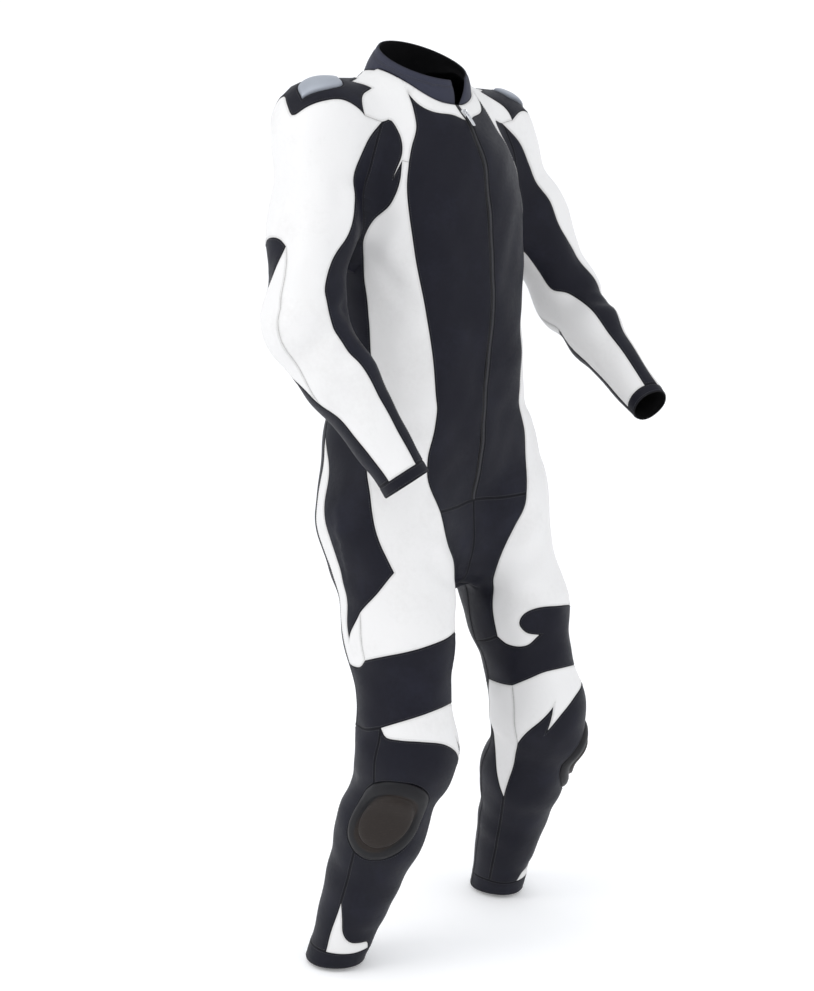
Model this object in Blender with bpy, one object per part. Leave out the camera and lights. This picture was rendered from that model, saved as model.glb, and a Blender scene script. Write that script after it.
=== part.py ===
"""Motorcycle race suit: a leather one-piece, filled out as on a figure with nobody in it.

Frame: metres, +Z up, the suit faces -Y and its wearer's left arm is on +X.  The origin is
between the shoulders, at the foot of the back of the neck, where a figure carries the suit.

The outer face of the cloth is one smooth surface, `gap(p) = 0`: a torso of superelliptic
sections joined softly to tapered arms and legs, with the large folds pressed into it.  Seams
are drawn on that surface, and every piece of leather is the area inside a loop of seams, cut
SEAM_GAP/2 back from each and thickened inwards.  Both sides share one set of tables.
"""
import math

import bpy
import numpy as np
from mathutils import Matrix, Vector
from mathutils.geometry import delaunay_2d_cdt

# ---------------------------------------------------------------- driving sizes (metres)
SUIT_NAME = "motorcycle_race_suit"
LEATHER = 0.0020            # thickness of a leather piece
SEAM_GAP = 0.0003           # clear distance between two pieces at a seam
SEAM_LEAN = 0.0002          # how much more a piece is cut back on its inner face
SEAM_STEP = 0.022           # distance between points along a seam
CLOTH_STEP = 0.030          # distance between points inside a piece
ZIP_HALF = 0.0040           # half the width of the zip's chain and tape
FLY_Z = -0.575              # foot of the zip
CHEST_Z = -0.180            # rays are level below this height and fan upwards above it

# Joints of the figure on its left side: x outward, y backward, z up.
NECK = (0.000, 0.030, -0.002)
SHOULDER = (0.178, 0.033, -0.033)
SHOULDER_LEFT = (0.176, 0.033, -0.044)    # the left shoulder is let down a little
ELBOW = (0.283, -0.043, -0.292)
WRIST = (0.222, -0.167, -0.491)
WRIST_LEFT = (0.220, -0.249, -0.430)    # the left sleeve hangs bent a little further
HIP = (0.111, -0.026, -0.620)
THIGH = (0.130, -0.074, -0.759)
KNEE = (0.147, -0.110, -0.928)
ANKLE = (0.187, 0.008, -1.282)

# Half widths of the limbs where they are named: sideways, and front to back.
NECK_R, YOKE_R = (0.066, 0.052), (0.062, 0.061)
CAP_R = (0.057, 0.062)
BICEP_R, ELBOW_R, FOREARM_R = (0.053, 0.064), (0.050, 0.057), (0.043, 0.050)    # right sleeve
BICEP_L, ELBOW_L, FOREARM_L = (0.051, 0.060), (0.045, 0.050), (0.038, 0.041)    # left sleeve
CUFF_R = (0.032, 0.036)
CUFF_L = (0.026, 0.029)
HIP_R, THIGH_R, KNEE_R = (0.081, 0.104), (0.065, 0.083), (0.066, 0.070)
CALF_R, HEM_R = (0.058, 0.062), (0.041, 0.045)

# Torso sections from the neck down to the crotch.
TORSO = (  # drop, centre_y, half_width, front_depth, back_depth, power (2 round, 4 flat) in front
    (-0.060, 0.022, 0.056, 0.040, 0.064, 2.0),
    (-0.020, 0.020, 0.078, 0.066, 0.086, 2.0),
    (0.030, 0.012, 0.118, 0.106, 0.106, 2.0),
    (0.100, 0.004, 0.156, 0.128, 0.126, 2.0),
    (0.180, 0.000, 0.164, 0.134, 0.130, 2.0),
    (0.280, 0.000, 0.158, 0.138, 0.126, 2.0),
    (0.400, 0.000, 0.152, 0.127, 0.128, 2.6),
    (0.500, -0.012, 0.180, 0.106, 0.142, 3.2),
    (0.590, -0.024, 0.195, 0.080, 0.142, 2.8),
    (0.645, -0.030, 0.160, 0.072, 0.114, 2.4),
    (0.690, -0.034, 0.092, 0.056, 0.078, 2.2),
    (0.735, -0.038, 0.034, 0.036, 0.046, 2.0),
)
YOKE_REACH, ARM_REACH, LEG_REACH, CROTCH_REACH = 0.050, 0.045, 0.055, 0.060
SLEEVE_REACH, SHANK_REACH = 0.030, 0.035
CROTCH_DROP, CROTCH_BLUNT = 0.684, 14.0     # where the torso ends below, and how roundly
NECK_RISE = 0.060           # where it ends above
YOKE_START = 0.035          # the yoke's round inner end is this far from the middle
UPPER_ARM, FOREARM, PAST_WRIST = 0.50, 0.35, 1.22   # shares of the way where girths are given
SHANK, PAST_ANKLE = 0.35, 1.10


# ---------------------------------------------------------------- small geometry helpers
def rows_at(table, x):
    """Monotone cubic through the rows of a table whose first column is x."""
    rows = np.asarray(table, float)
    xs, ys = rows[:, 0], rows[:, 1:]
    width = np.diff(xs)
    rise = np.diff(ys, axis=0) / width[:, None]
    slope = np.zeros_like(ys)
    slope[0], slope[-1] = rise[0], rise[-1]
    before = (2 * width[1:] + width[:-1])[:, None]
    after = (width[1:] + 2 * width[:-1])[:, None]
    same = rise[:-1] * rise[1:] > 0
    safe_a, safe_b = np.where(same, rise[:-1], 1.0), np.where(same, rise[1:], 1.0)
    slope[1:-1] = np.where(same, (before + after) / (before / safe_a + after / safe_b), 0.0)
    x = np.clip(x, xs[0], xs[-1])
    i = np.clip(np.searchsorted(xs, x) - 1, 0, len(xs) - 2)
    t, w = ((x - xs[i]) / width[i])[..., None], width[i][..., None]
    return (ys[i] * (1 + 2 * t) * (1 - t) ** 2 + slope[i] * w * t * (1 - t) ** 2
            + ys[i + 1] * t * t * (3 - 2 * t) + slope[i + 1] * w * t * t * (t - 1))


def blend(a, b, reach):
    """Soft minimum: rounds the inside corner between two forms over `reach`."""
    t = np.clip(0.5 + 0.5 * (b - a) / reach, 0.0, 1.0)
    return b * (1 - t) + a * t - reach * t * (1 - t)


def smooth(t):
    """Smooth step of a value between 0 and 1."""
    t = np.clip(t, 0.0, 1.0)
    return t * t * (3 - 2 * t)


def unit(v):
    """Vectors of length one."""
    v = np.asarray(v, float)
    return v / np.linalg.norm(v, axis=-1, keepdims=True)


def between(a, b, t):
    """The point a share t of the way from a to b."""
    return np.asarray(a, float) + (np.asarray(b, float) - np.asarray(a, float)) * t


# ---------------------------------------------------------------- the suit's outer surface
class Limb:
    """A round-ended length with an elliptic section that tapers from one end to the other."""

    def __init__(self, start, end, start_r, end_r, side=(1, 0, 0)):
        self.start = np.asarray(start, float)
        run = np.asarray(end, float) - self.start
        self.length = np.linalg.norm(run)
        self.along = run / self.length
        self.side = unit(np.asarray(side, float) - self.along * self.along[np.argmax(side)])
        self.deep = np.cross(self.along, self.side)
        self.start_r, self.end_r = np.asarray(start_r), np.asarray(end_r)

    def __call__(self, p):
        w = p - self.start
        t = w @ self.along
        inside = np.clip(t, 0.0, self.length)
        share = smooth(inside / self.length)[..., None]
        r = self.start_r + (self.end_r - self.start_r) * share
        mean = r.mean(axis=-1)
        size = np.sqrt((w @ self.side / r[..., 0]) ** 2 + (w @ self.deep / r[..., 1]) ** 2
                       + ((t - inside) / mean) ** 2)
        return (size - 1.0) * mean


def chain(points, radii):
    """The lengths of a limb through its points."""
    return [Limb(points[i], points[i + 1], radii[i], radii[i + 1]) for i in range(len(points) - 1)]


YOKE, YOKE_LEFT = [Limb((YOKE_START, NECK[1], NECK[2]), shoulder, NECK_R, YOKE_R, side=(0, 1, 0))
                   for shoulder in (SHOULDER, SHOULDER_LEFT)]
ARM, ARM_LEFT = [chain((shoulder, between(shoulder, ELBOW, UPPER_ARM), ELBOW,
                        between(ELBOW, wrist, FOREARM), between(ELBOW, wrist, PAST_WRIST)),
                       (CAP_R, *radii))
                 for shoulder, wrist, radii in (
                     (SHOULDER, WRIST, (BICEP_R, ELBOW_R, FOREARM_R, CUFF_R)),
                     (SHOULDER_LEFT, WRIST_LEFT, (BICEP_L, ELBOW_L, FOREARM_L, CUFF_L)))]
LEG = chain((HIP, THIGH, KNEE, between(KNEE, ANKLE, SHANK), between(KNEE, ANKLE, PAST_ANKLE)),
            (HIP_R, THIGH_R, KNEE_R, CALF_R, HEM_R))


def torso_gap(p):
    """Distance-like value outside the torso, negative inside it."""
    centre, half, front, back, power = rows_at(TORSO, -p[..., 2]).T
    y = p[..., 1] - centre.T
    deep = np.where(y < 0, front.T, back.T)
    power = np.where(y < 0, power.T, 2.0)
    half = half.T
    size = ((np.abs(p[..., 0]) / half) ** power + (np.abs(y) / deep) ** power) ** (1 / power)
    beyond = (CROTCH_BLUNT * np.maximum(0, -p[..., 2] - CROTCH_DROP) ** 2
              + np.maximum(0, p[..., 2] - NECK_RISE))
    return (size - 1) * np.minimum(half, deep) + beyond


def limb_gap(limb, p, reach):
    """Distance-like value of a chain of lengths."""
    value = limb[0](p)
    for length in limb[1:]:
        value = blend(value, length(p), reach)
    return value


def form_gap(p):
    """Distance-like value of the suit without folds; shoulders and sleeves differ by side."""
    own = np.concatenate([np.abs(p[..., :1]), p[..., 1:]], axis=-1)
    other = own * (-1, 1, 1)
    value = blend(torso_gap(own), YOKE(p * (-1, 1, 1)), YOKE_REACH)
    value = blend(value, YOKE_LEFT(p), YOKE_REACH)
    sleeve = np.where(p[..., 0] < 0, limb_gap(ARM, own, SLEEVE_REACH),
                      limb_gap(ARM_LEFT, own, SLEEVE_REACH))
    value = blend(value, sleeve, ARM_REACH)
    legs = blend(limb_gap(LEG, own, SHANK_REACH), limb_gap(LEG, other, SHANK_REACH),
                 CROTCH_REACH)
    return blend(value, legs, LEG_REACH)


# Large folds: x, y, z of the middle, x, y, z of its run, half length, half width, push (- is in)
FOLDS = (
    (-0.283, -0.090, -0.281, 1.0, 0.1, 0.3, 0.034, 0.015, -0.0065),     # crook of the right elbow
    (-0.272, -0.086, -0.246, 1.0, 0.0, 0.5, 0.028, 0.012, -0.0040),
    (0.280, -0.088, -0.290, 1.0, -0.1, -0.2, 0.032, 0.016, -0.0070),    # crook of the left elbow
    (0.276, -0.098, -0.322, 1.0, 0.0, -0.5, 0.026, 0.012, -0.0040),
    (-0.147, -0.040, -0.925, 1.0, 0.0, 0.1, 0.046, 0.019, -0.0080),     # back of the right knee
    (-0.142, -0.026, -0.880, 1.0, 0.1, -0.3, 0.034, 0.015, -0.0045),
    (0.149, -0.040, -0.932, 1.0, 0.0, -0.1, 0.044, 0.018, -0.0080),     # back of the left knee
    (0.152, -0.030, -0.978, 1.0, 0.0, 0.3, 0.036, 0.016, -0.0045),
    (-0.086, -0.122, -0.612, 0.8, 0.0, -0.5, 0.060, 0.018, -0.0060),    # groins
    (0.083, -0.120, -0.622, 0.8, 0.0, 0.6, 0.056, 0.018, -0.0060),
    (-0.150, 0.010, -0.425, 0.1, 1.0, 0.2, 0.060, 0.021, -0.0070),      # waist
    (0.151, 0.000, -0.440, 0.1, 1.0, -0.2, 0.056, 0.020, -0.0060),
    (0.015, 0.124, -0.432, 1.0, 0.0, 0.1, 0.085, 0.022, -0.0060),       # small of the back
    (-0.030, 0.128, -0.385, 1.0, 0.0, -0.2, 0.060, 0.018, -0.0035),
    (-0.140, -0.094, -0.205, 0.5, 0.2, 0.8, 0.050, 0.017, -0.0050),     # front of the armpits
    (0.138, -0.096, -0.200, -0.5, 0.2, 0.8, 0.046, 0.017, -0.0050),
    (0.174, -0.160, -0.992, 0.0, 0.3, 1.0, 0.034, 0.038, 0.0150),       # the left knee stands out
    (-0.074, -0.122, -0.706, 0.1, 0.0, 1.0, 0.030, 0.036, 0.0135),      # full inner thighs
    (0.074, -0.122, -0.706, -0.1, 0.0, 1.0, 0.030, 0.036, 0.0135),
)


def gap(p):
    """The outer face of the leather is where this is zero."""
    return form_gap(p) - folds(p)


def folds(p):
    """How far the large folds push the cloth out (+) or in (-)."""
    push = np.zeros(p.shape[:-1])
    for x, y, z, ax, ay, az, length, width, depth in FOLDS:
        w = p - (x, y, z)
        axis = unit((ax, ay, az))
        t = w @ axis
        across = np.sqrt(np.maximum(0.0, (w * w).sum(-1) - t * t))
        push += depth * np.exp(-(t / length) ** 2 - (across / width) ** 2)
    return push


def normals(p, step=0.0008):
    """Outward directions of the surface at points on it."""
    slope = [gap(p + step * e) - gap(p - step * e) for e in np.eye(3)]
    return unit(np.stack(slope, axis=-1))


def cast(origin, direction, reach=0.34, step=0.010):
    """Where rays that start inside the suit first leave it."""
    origin, direction = np.asarray(origin, float), np.asarray(direction, float)
    near, far = np.zeros(len(origin)), np.full(len(origin), reach)
    open_ray = np.ones(len(origin), bool)
    for distance in np.arange(step, reach, step):
        value = gap(origin[open_ray] + direction[open_ray] * distance)
        where = np.flatnonzero(open_ray)
        far[where[value > 0]] = distance
        near[where[value <= 0]] = distance
        open_ray[where[value > 0]] = False
        if not open_ray.any():
            break
    for _ in range(16):
        middle = (near + far) / 2
        outside = gap(origin + direction * middle[:, None]) > 0
        far = np.where(outside, middle, far)
        near = np.where(outside, near, middle)
    return origin + direction * ((near + far) / 2)[:, None]


# ---------------------------------------------------------------- ways to name a place on it
BODY_AXIS = (  # drop, x, y: the line that the level rays of one half of the body leave from
    (0.18, 0.000, 0.005), (0.42, 0.000, 0.000), (0.50, 0.045, -0.012), (0.62, 0.100, -0.030),
    (0.76, 0.121, -0.065), (0.90, 0.143, -0.098), (0.98, 0.152, -0.092), (1.05, 0.160, -0.070),
    (1.32, 0.191, 0.021),
)
BODY_RADIUS = ((-0.40, 0.040), (-0.10, 0.110), (0.18, 0.150), (0.42, 0.145), (0.62, 0.100),
               (0.90, 0.072), (1.30, 0.048))


class Body:
    """One half of the torso with its leg: degrees round from the front, and a height.

    Below CHEST_Z rays are level; above it they fan up from one point, and the height is
    CHEST_Z plus the fan's angle times 0.15 m.
    """

    fan = 0.15

    def __init__(self, side):
        self.side = side

    def axis(self, z):
        x, y = rows_at(BODY_AXIS, -np.minimum(z, CHEST_Z)).T
        return np.stack([self.side * x, y, np.minimum(z, CHEST_Z)], axis=-1)

    def rays(self, place):
        """Origins and directions for rows of (degrees, height)."""
        turn, z = np.radians(place[:, 0]), place[:, 1]
        lift = np.maximum(0.0, z - CHEST_Z) / self.fan
        flat = np.stack([self.side * np.sin(turn), -np.cos(turn), np.zeros(len(turn))], axis=-1)
        up = np.array([0.0, 0.0, 1.0])
        return self.axis(z), flat * np.cos(lift)[:, None] + up * np.sin(lift)[:, None]

    def point(self, place):
        """Points on the surface for rows of (degrees, height)."""
        return cast(*self.rays(np.asarray(place, float)))

    def place(self, p, about=90.0):
        """The (degrees, height) of points, with degrees within half a turn of `about`."""
        w = p - self.axis(p[:, 2])
        turn = np.degrees(np.arctan2(self.side * w[:, 0], -w[:, 1]))
        turn = about + (turn - about + 180.0) % 360.0 - 180.0
        lift = np.arctan2(p[:, 2] - CHEST_Z, np.hypot(w[:, 0], w[:, 1]))
        z = np.where(p[:, 2] > CHEST_Z, CHEST_Z + self.fan * lift, p[:, 2])
        return np.stack([turn, z], axis=-1)

    def flat(self, place):
        """A nearly true-to-size flat map of the places."""
        radius = rows_at(BODY_RADIUS, -place[:, 1])[:, 0]
        return np.stack([np.radians(place[:, 0]) * radius, place[:, 1]], axis=-1)

    def unflat(self, uv):
        radius = rows_at(BODY_RADIUS, -uv[:, 1])[:, 0]
        return np.stack([np.degrees(uv[:, 0] / radius), uv[:, 1]], axis=-1)


class Arm:
    """A sleeve: degrees round its bent axis from the front by the outside, and a length."""

    radius = 0.056
    yoke_line = ((0.060, 0.030, -0.095), (0.140, 0.033, -0.078))    # its axis inside the yoke
    past_wrist, rounding, steps = 1.20, 0.045, 321

    def __init__(self, side):
        self.side = side
        shoulder, wrist = (SHOULDER, WRIST) if side < 0 else (SHOULDER_LEFT, WRIST_LEFT)
        knots = np.array([*self.yoke_line, between(shoulder, ELBOW, 0.30), ELBOW, wrist,
                          between(ELBOW, wrist, self.past_wrist)], float)
        run = np.r_[0, np.cumsum(np.linalg.norm(np.diff(knots, axis=0), axis=1))]
        even = np.linspace(0, run[-1], self.steps)
        line = np.stack([np.interp(even, run, knots[:, k]) for k in range(3)], axis=-1)
        soft = np.exp(-((even[:, None] - even) / self.rounding) ** 2)
        ends = np.minimum(even, even[-1] - even)
        soft = np.where(np.abs(even[:, None] - even) <= ends[:, None] + 1e-9, soft, 0.0)
        line = (soft @ line) / soft.sum(axis=1, keepdims=True)
        self.line = line * (side, 1, 1)
        self.length = np.r_[0, np.cumsum(np.linalg.norm(np.diff(line, axis=0), axis=1))]
        self.along = unit(np.gradient(self.line, axis=0))
        ahead = np.array([0.0, -1.0, 0.0])
        self.front = unit(ahead - self.along * (self.along @ ahead)[:, None])
        self.out = np.cross(self.along, self.front) * -side

    def at(self, rows, length):
        return np.stack([np.interp(length, self.length, rows[:, k]) for k in range(3)], axis=-1)

    def point(self, place):
        place = np.asarray(place, float)
        turn = np.radians(place[:, 0])[:, None]
        way = (unit(self.at(self.front, place[:, 1])) * np.cos(turn)
               + unit(self.at(self.out, place[:, 1])) * np.sin(turn))
        return cast(self.at(self.line, place[:, 1]), way)

    def place(self, p, about=90.0):
        w = p[:, None, :] - self.line[None]
        ahead = (w * self.along[None]).sum(-1)
        near = (w * w).sum(-1)
        crossing = (ahead[:, :-1] >= 0) & (ahead[:, 1:] < 0)
        score = np.where(crossing, near[:, :-1], 9.0)
        k = np.argmin(score, axis=1)
        row = np.arange(len(p))
        a, b = ahead[row, k], ahead[row, k + 1]
        length = self.length[k] + (self.length[k + 1] - self.length[k]) * a / (a - b)
        w = p - self.at(self.line, length)
        turn = np.degrees(np.arctan2((w * self.at(self.out, length)).sum(-1),
                                     (w * self.at(self.front, length)).sum(-1)))
        return np.stack([about + (turn - about + 180.0) % 360.0 - 180.0, length], axis=-1)

    def flat(self, place):
        return np.stack([np.radians(place[:, 0]) * self.radius, place[:, 1]], axis=-1)

    def unflat(self, uv):
        return np.stack([np.degrees(uv[:, 0] / self.radius), uv[:, 1]], axis=-1)


class Straight:
    """Rays along one axis from a plane inside the suit: places are two plain coordinates."""

    def __init__(self, side, way):
        self.side, self.way = side, way

    def point(self, place):
        u, v = np.asarray(place, float).T
        start = {"ahead": (u, 0 * u - 0.03, v), "behind": (u, 0 * u - 0.03, v),
                 "up": (u, v, 0 * u - 0.10), "down": (u, v, 0 * u - 0.60)}[self.way]
        heading = {"ahead": (0, -1, 0), "behind": (0, 1, 0), "up": (0, 0, 1), "down": (0, 0, -1)}
        origin = np.stack(start, axis=-1) * (self.side, 1, 1)
        return cast(origin, np.tile(np.array(heading[self.way], float), (len(u), 1)))

    def place(self, p, about=0.0):
        rest = 2 if self.way in ("ahead", "behind") else 1
        return np.stack([p[:, 0] * self.side, p[:, rest]], axis=-1)


class Neck(Straight):
    """The foot of the collar: degrees from the front of an oval, and a share of its size."""

    half, centre, depth = 0.077, 0.015, 0.081

    def __init__(self, side):
        super().__init__(side, "up")

    def point(self, place):
        turn, share = np.radians(place)[:, 0], np.asarray(place, float)[:, 1]
        return super().point(np.stack([self.half * share * np.sin(turn),
                                       self.centre - self.depth * share * np.cos(turn)], axis=-1))

    def place(self, p, about=90.0):
        x, y = p[:, 0] * self.side / self.half, (self.centre - p[:, 1]) / self.depth
        return np.stack([np.degrees(np.arctan2(x, y)), np.hypot(x, y)], axis=-1)


def maps(side):
    """Every way to name a place on one side of the suit."""
    found = {"body": Body(side), "arm": Arm(side), "neck": Neck(side)}
    found.update({way: Straight(side, way) for way in ("ahead", "behind", "up", "down")})
    return found


# ---------------------------------------------------------------- seams
HEM_V, HEM_END = -1.256, -1.284
PUCK_AT, PUCK_HALF = (50.0, -1.018), (50.0, 0.066)
CUFF_S, CUFF_END = 0.600, 0.617
ZIP_DEG = math.degrees(math.asin(ZIP_HALF / Neck.half))

# Where seams meet: the map that names the place, and the place.
NODES = {
    "neck_zip": ("neck", ZIP_DEG, 1.0), "neck_side": ("neck", 128.0, 1.0),
    "neck_yoke": ("neck", 152.0, 1.0), "neck_back": ("neck", 180.0, 1.0),
    "bib_zip": ("ahead", ZIP_HALF, -0.020), "bib_tip": ("body", 59.5, -0.005),
    "strap_out": ("body", 57.5, -0.083), "strap_in": ("body", 53.6, -0.084),
    "fly_centre": ("ahead", 0.0, FLY_Z), "fly_zip": ("ahead", ZIP_HALF, FLY_Z),
    "fly_side": ("body", 6.0, FLY_Z),
    "rise_front": ("down", 0.0, -0.074), "rise_back": ("down", 0.0, 0.040),
    "rise_side": ("down", 0.053, -0.034),
    "waist_back": ("behind", 0.0, -0.435), "waist_side": ("body", 116.0, -0.435),
    "yoke_tip": ("body", 75.0, -0.061), "hole_front": ("arm", 42.0, 0.071),
    "hole_inner": ("arm", -76.0, 0.240), "hole_under": ("arm", -150.0, 0.150),
    "hole_back": ("arm", -186.0, 0.122), "hole_top": ("arm", -222.0, 0.112),
    "flame_tip": ("arm", 88.0, 0.262), "flame_top": ("arm", 210.0, 0.232),
    "flame_low": ("arm", 210.0, 0.305), "elbow_low": ("arm", 210.0, 0.400),
    "elbow_tip": ("arm", 98.0, 0.462),
    "cuff_inner": ("arm", -50.0, CUFF_S), "cuff_front": ("arm", -4.0, CUFF_S),
    "cuff_under": ("arm", 73.0, CUFF_S), "cuff_back": ("arm", 210.0, CUFF_S),
    "cuff_end": ("arm", 210.0, CUFF_END),
    "stripe_top": ("body", 113.0, -0.478), "stripe_low": ("body", 111.0, -0.763),
    "panel_edge": ("body", 85.0, -0.719), "panel_tip": ("body", 43.0, -0.655),
    "band_front": ("body", 87.0, -0.787), "band_out": ("body", 128.0, -0.805),
    "band_in": ("body", -75.0, -0.803), "band_seam": ("body", -125.0, -0.820),
    "under_seam": ("body", -125.0, -0.884), "under_in": ("body", -72.0, -0.879),
    "under_out": ("body", 73.0, -0.877), "under_back": ("body", 128.0, -0.890),
    "white_side": ("body", -66.0, -0.976), "white_low": ("body", -71.0, -1.078),
    "calf_seam": ("body", -128.0, -0.960),
    "puck_top": ("body", 76.0, -0.962), "puck_low": ("body", 76.0, -1.074),
    "ankle_top": ("body", 75.0, -1.168), "ankle_tip": ("body", -14.0, HEM_V),
    "hem_out": ("body", 73.0, HEM_V), "hem_in": ("body", -70.0, HEM_V),
    "hem_seam": ("body", -125.0, HEM_V), "hem_end": ("body", -125.0, HEM_END),
    "cup_in": ("arm", 83.0, 0.084), "cup_out": ("arm", 86.0, 0.122),
}


def level_rows(first, last, height, every=30.0):
    """Places between two turns at one height."""
    count = max(1, round(abs(last - first) / every))
    return [(first + (last - first) * k / count, height) for k in range(1, count)]


def oval_rows(centre, half, first, last, count):
    """Places on an oval between two turns of its own, without its ends."""
    turns = np.radians(np.linspace(first, last, count + 2))[1:-1]
    return [(centre[0] + half[0] * math.cos(t), centre[1] + half[1] * math.sin(t)) for t in turns]


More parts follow.
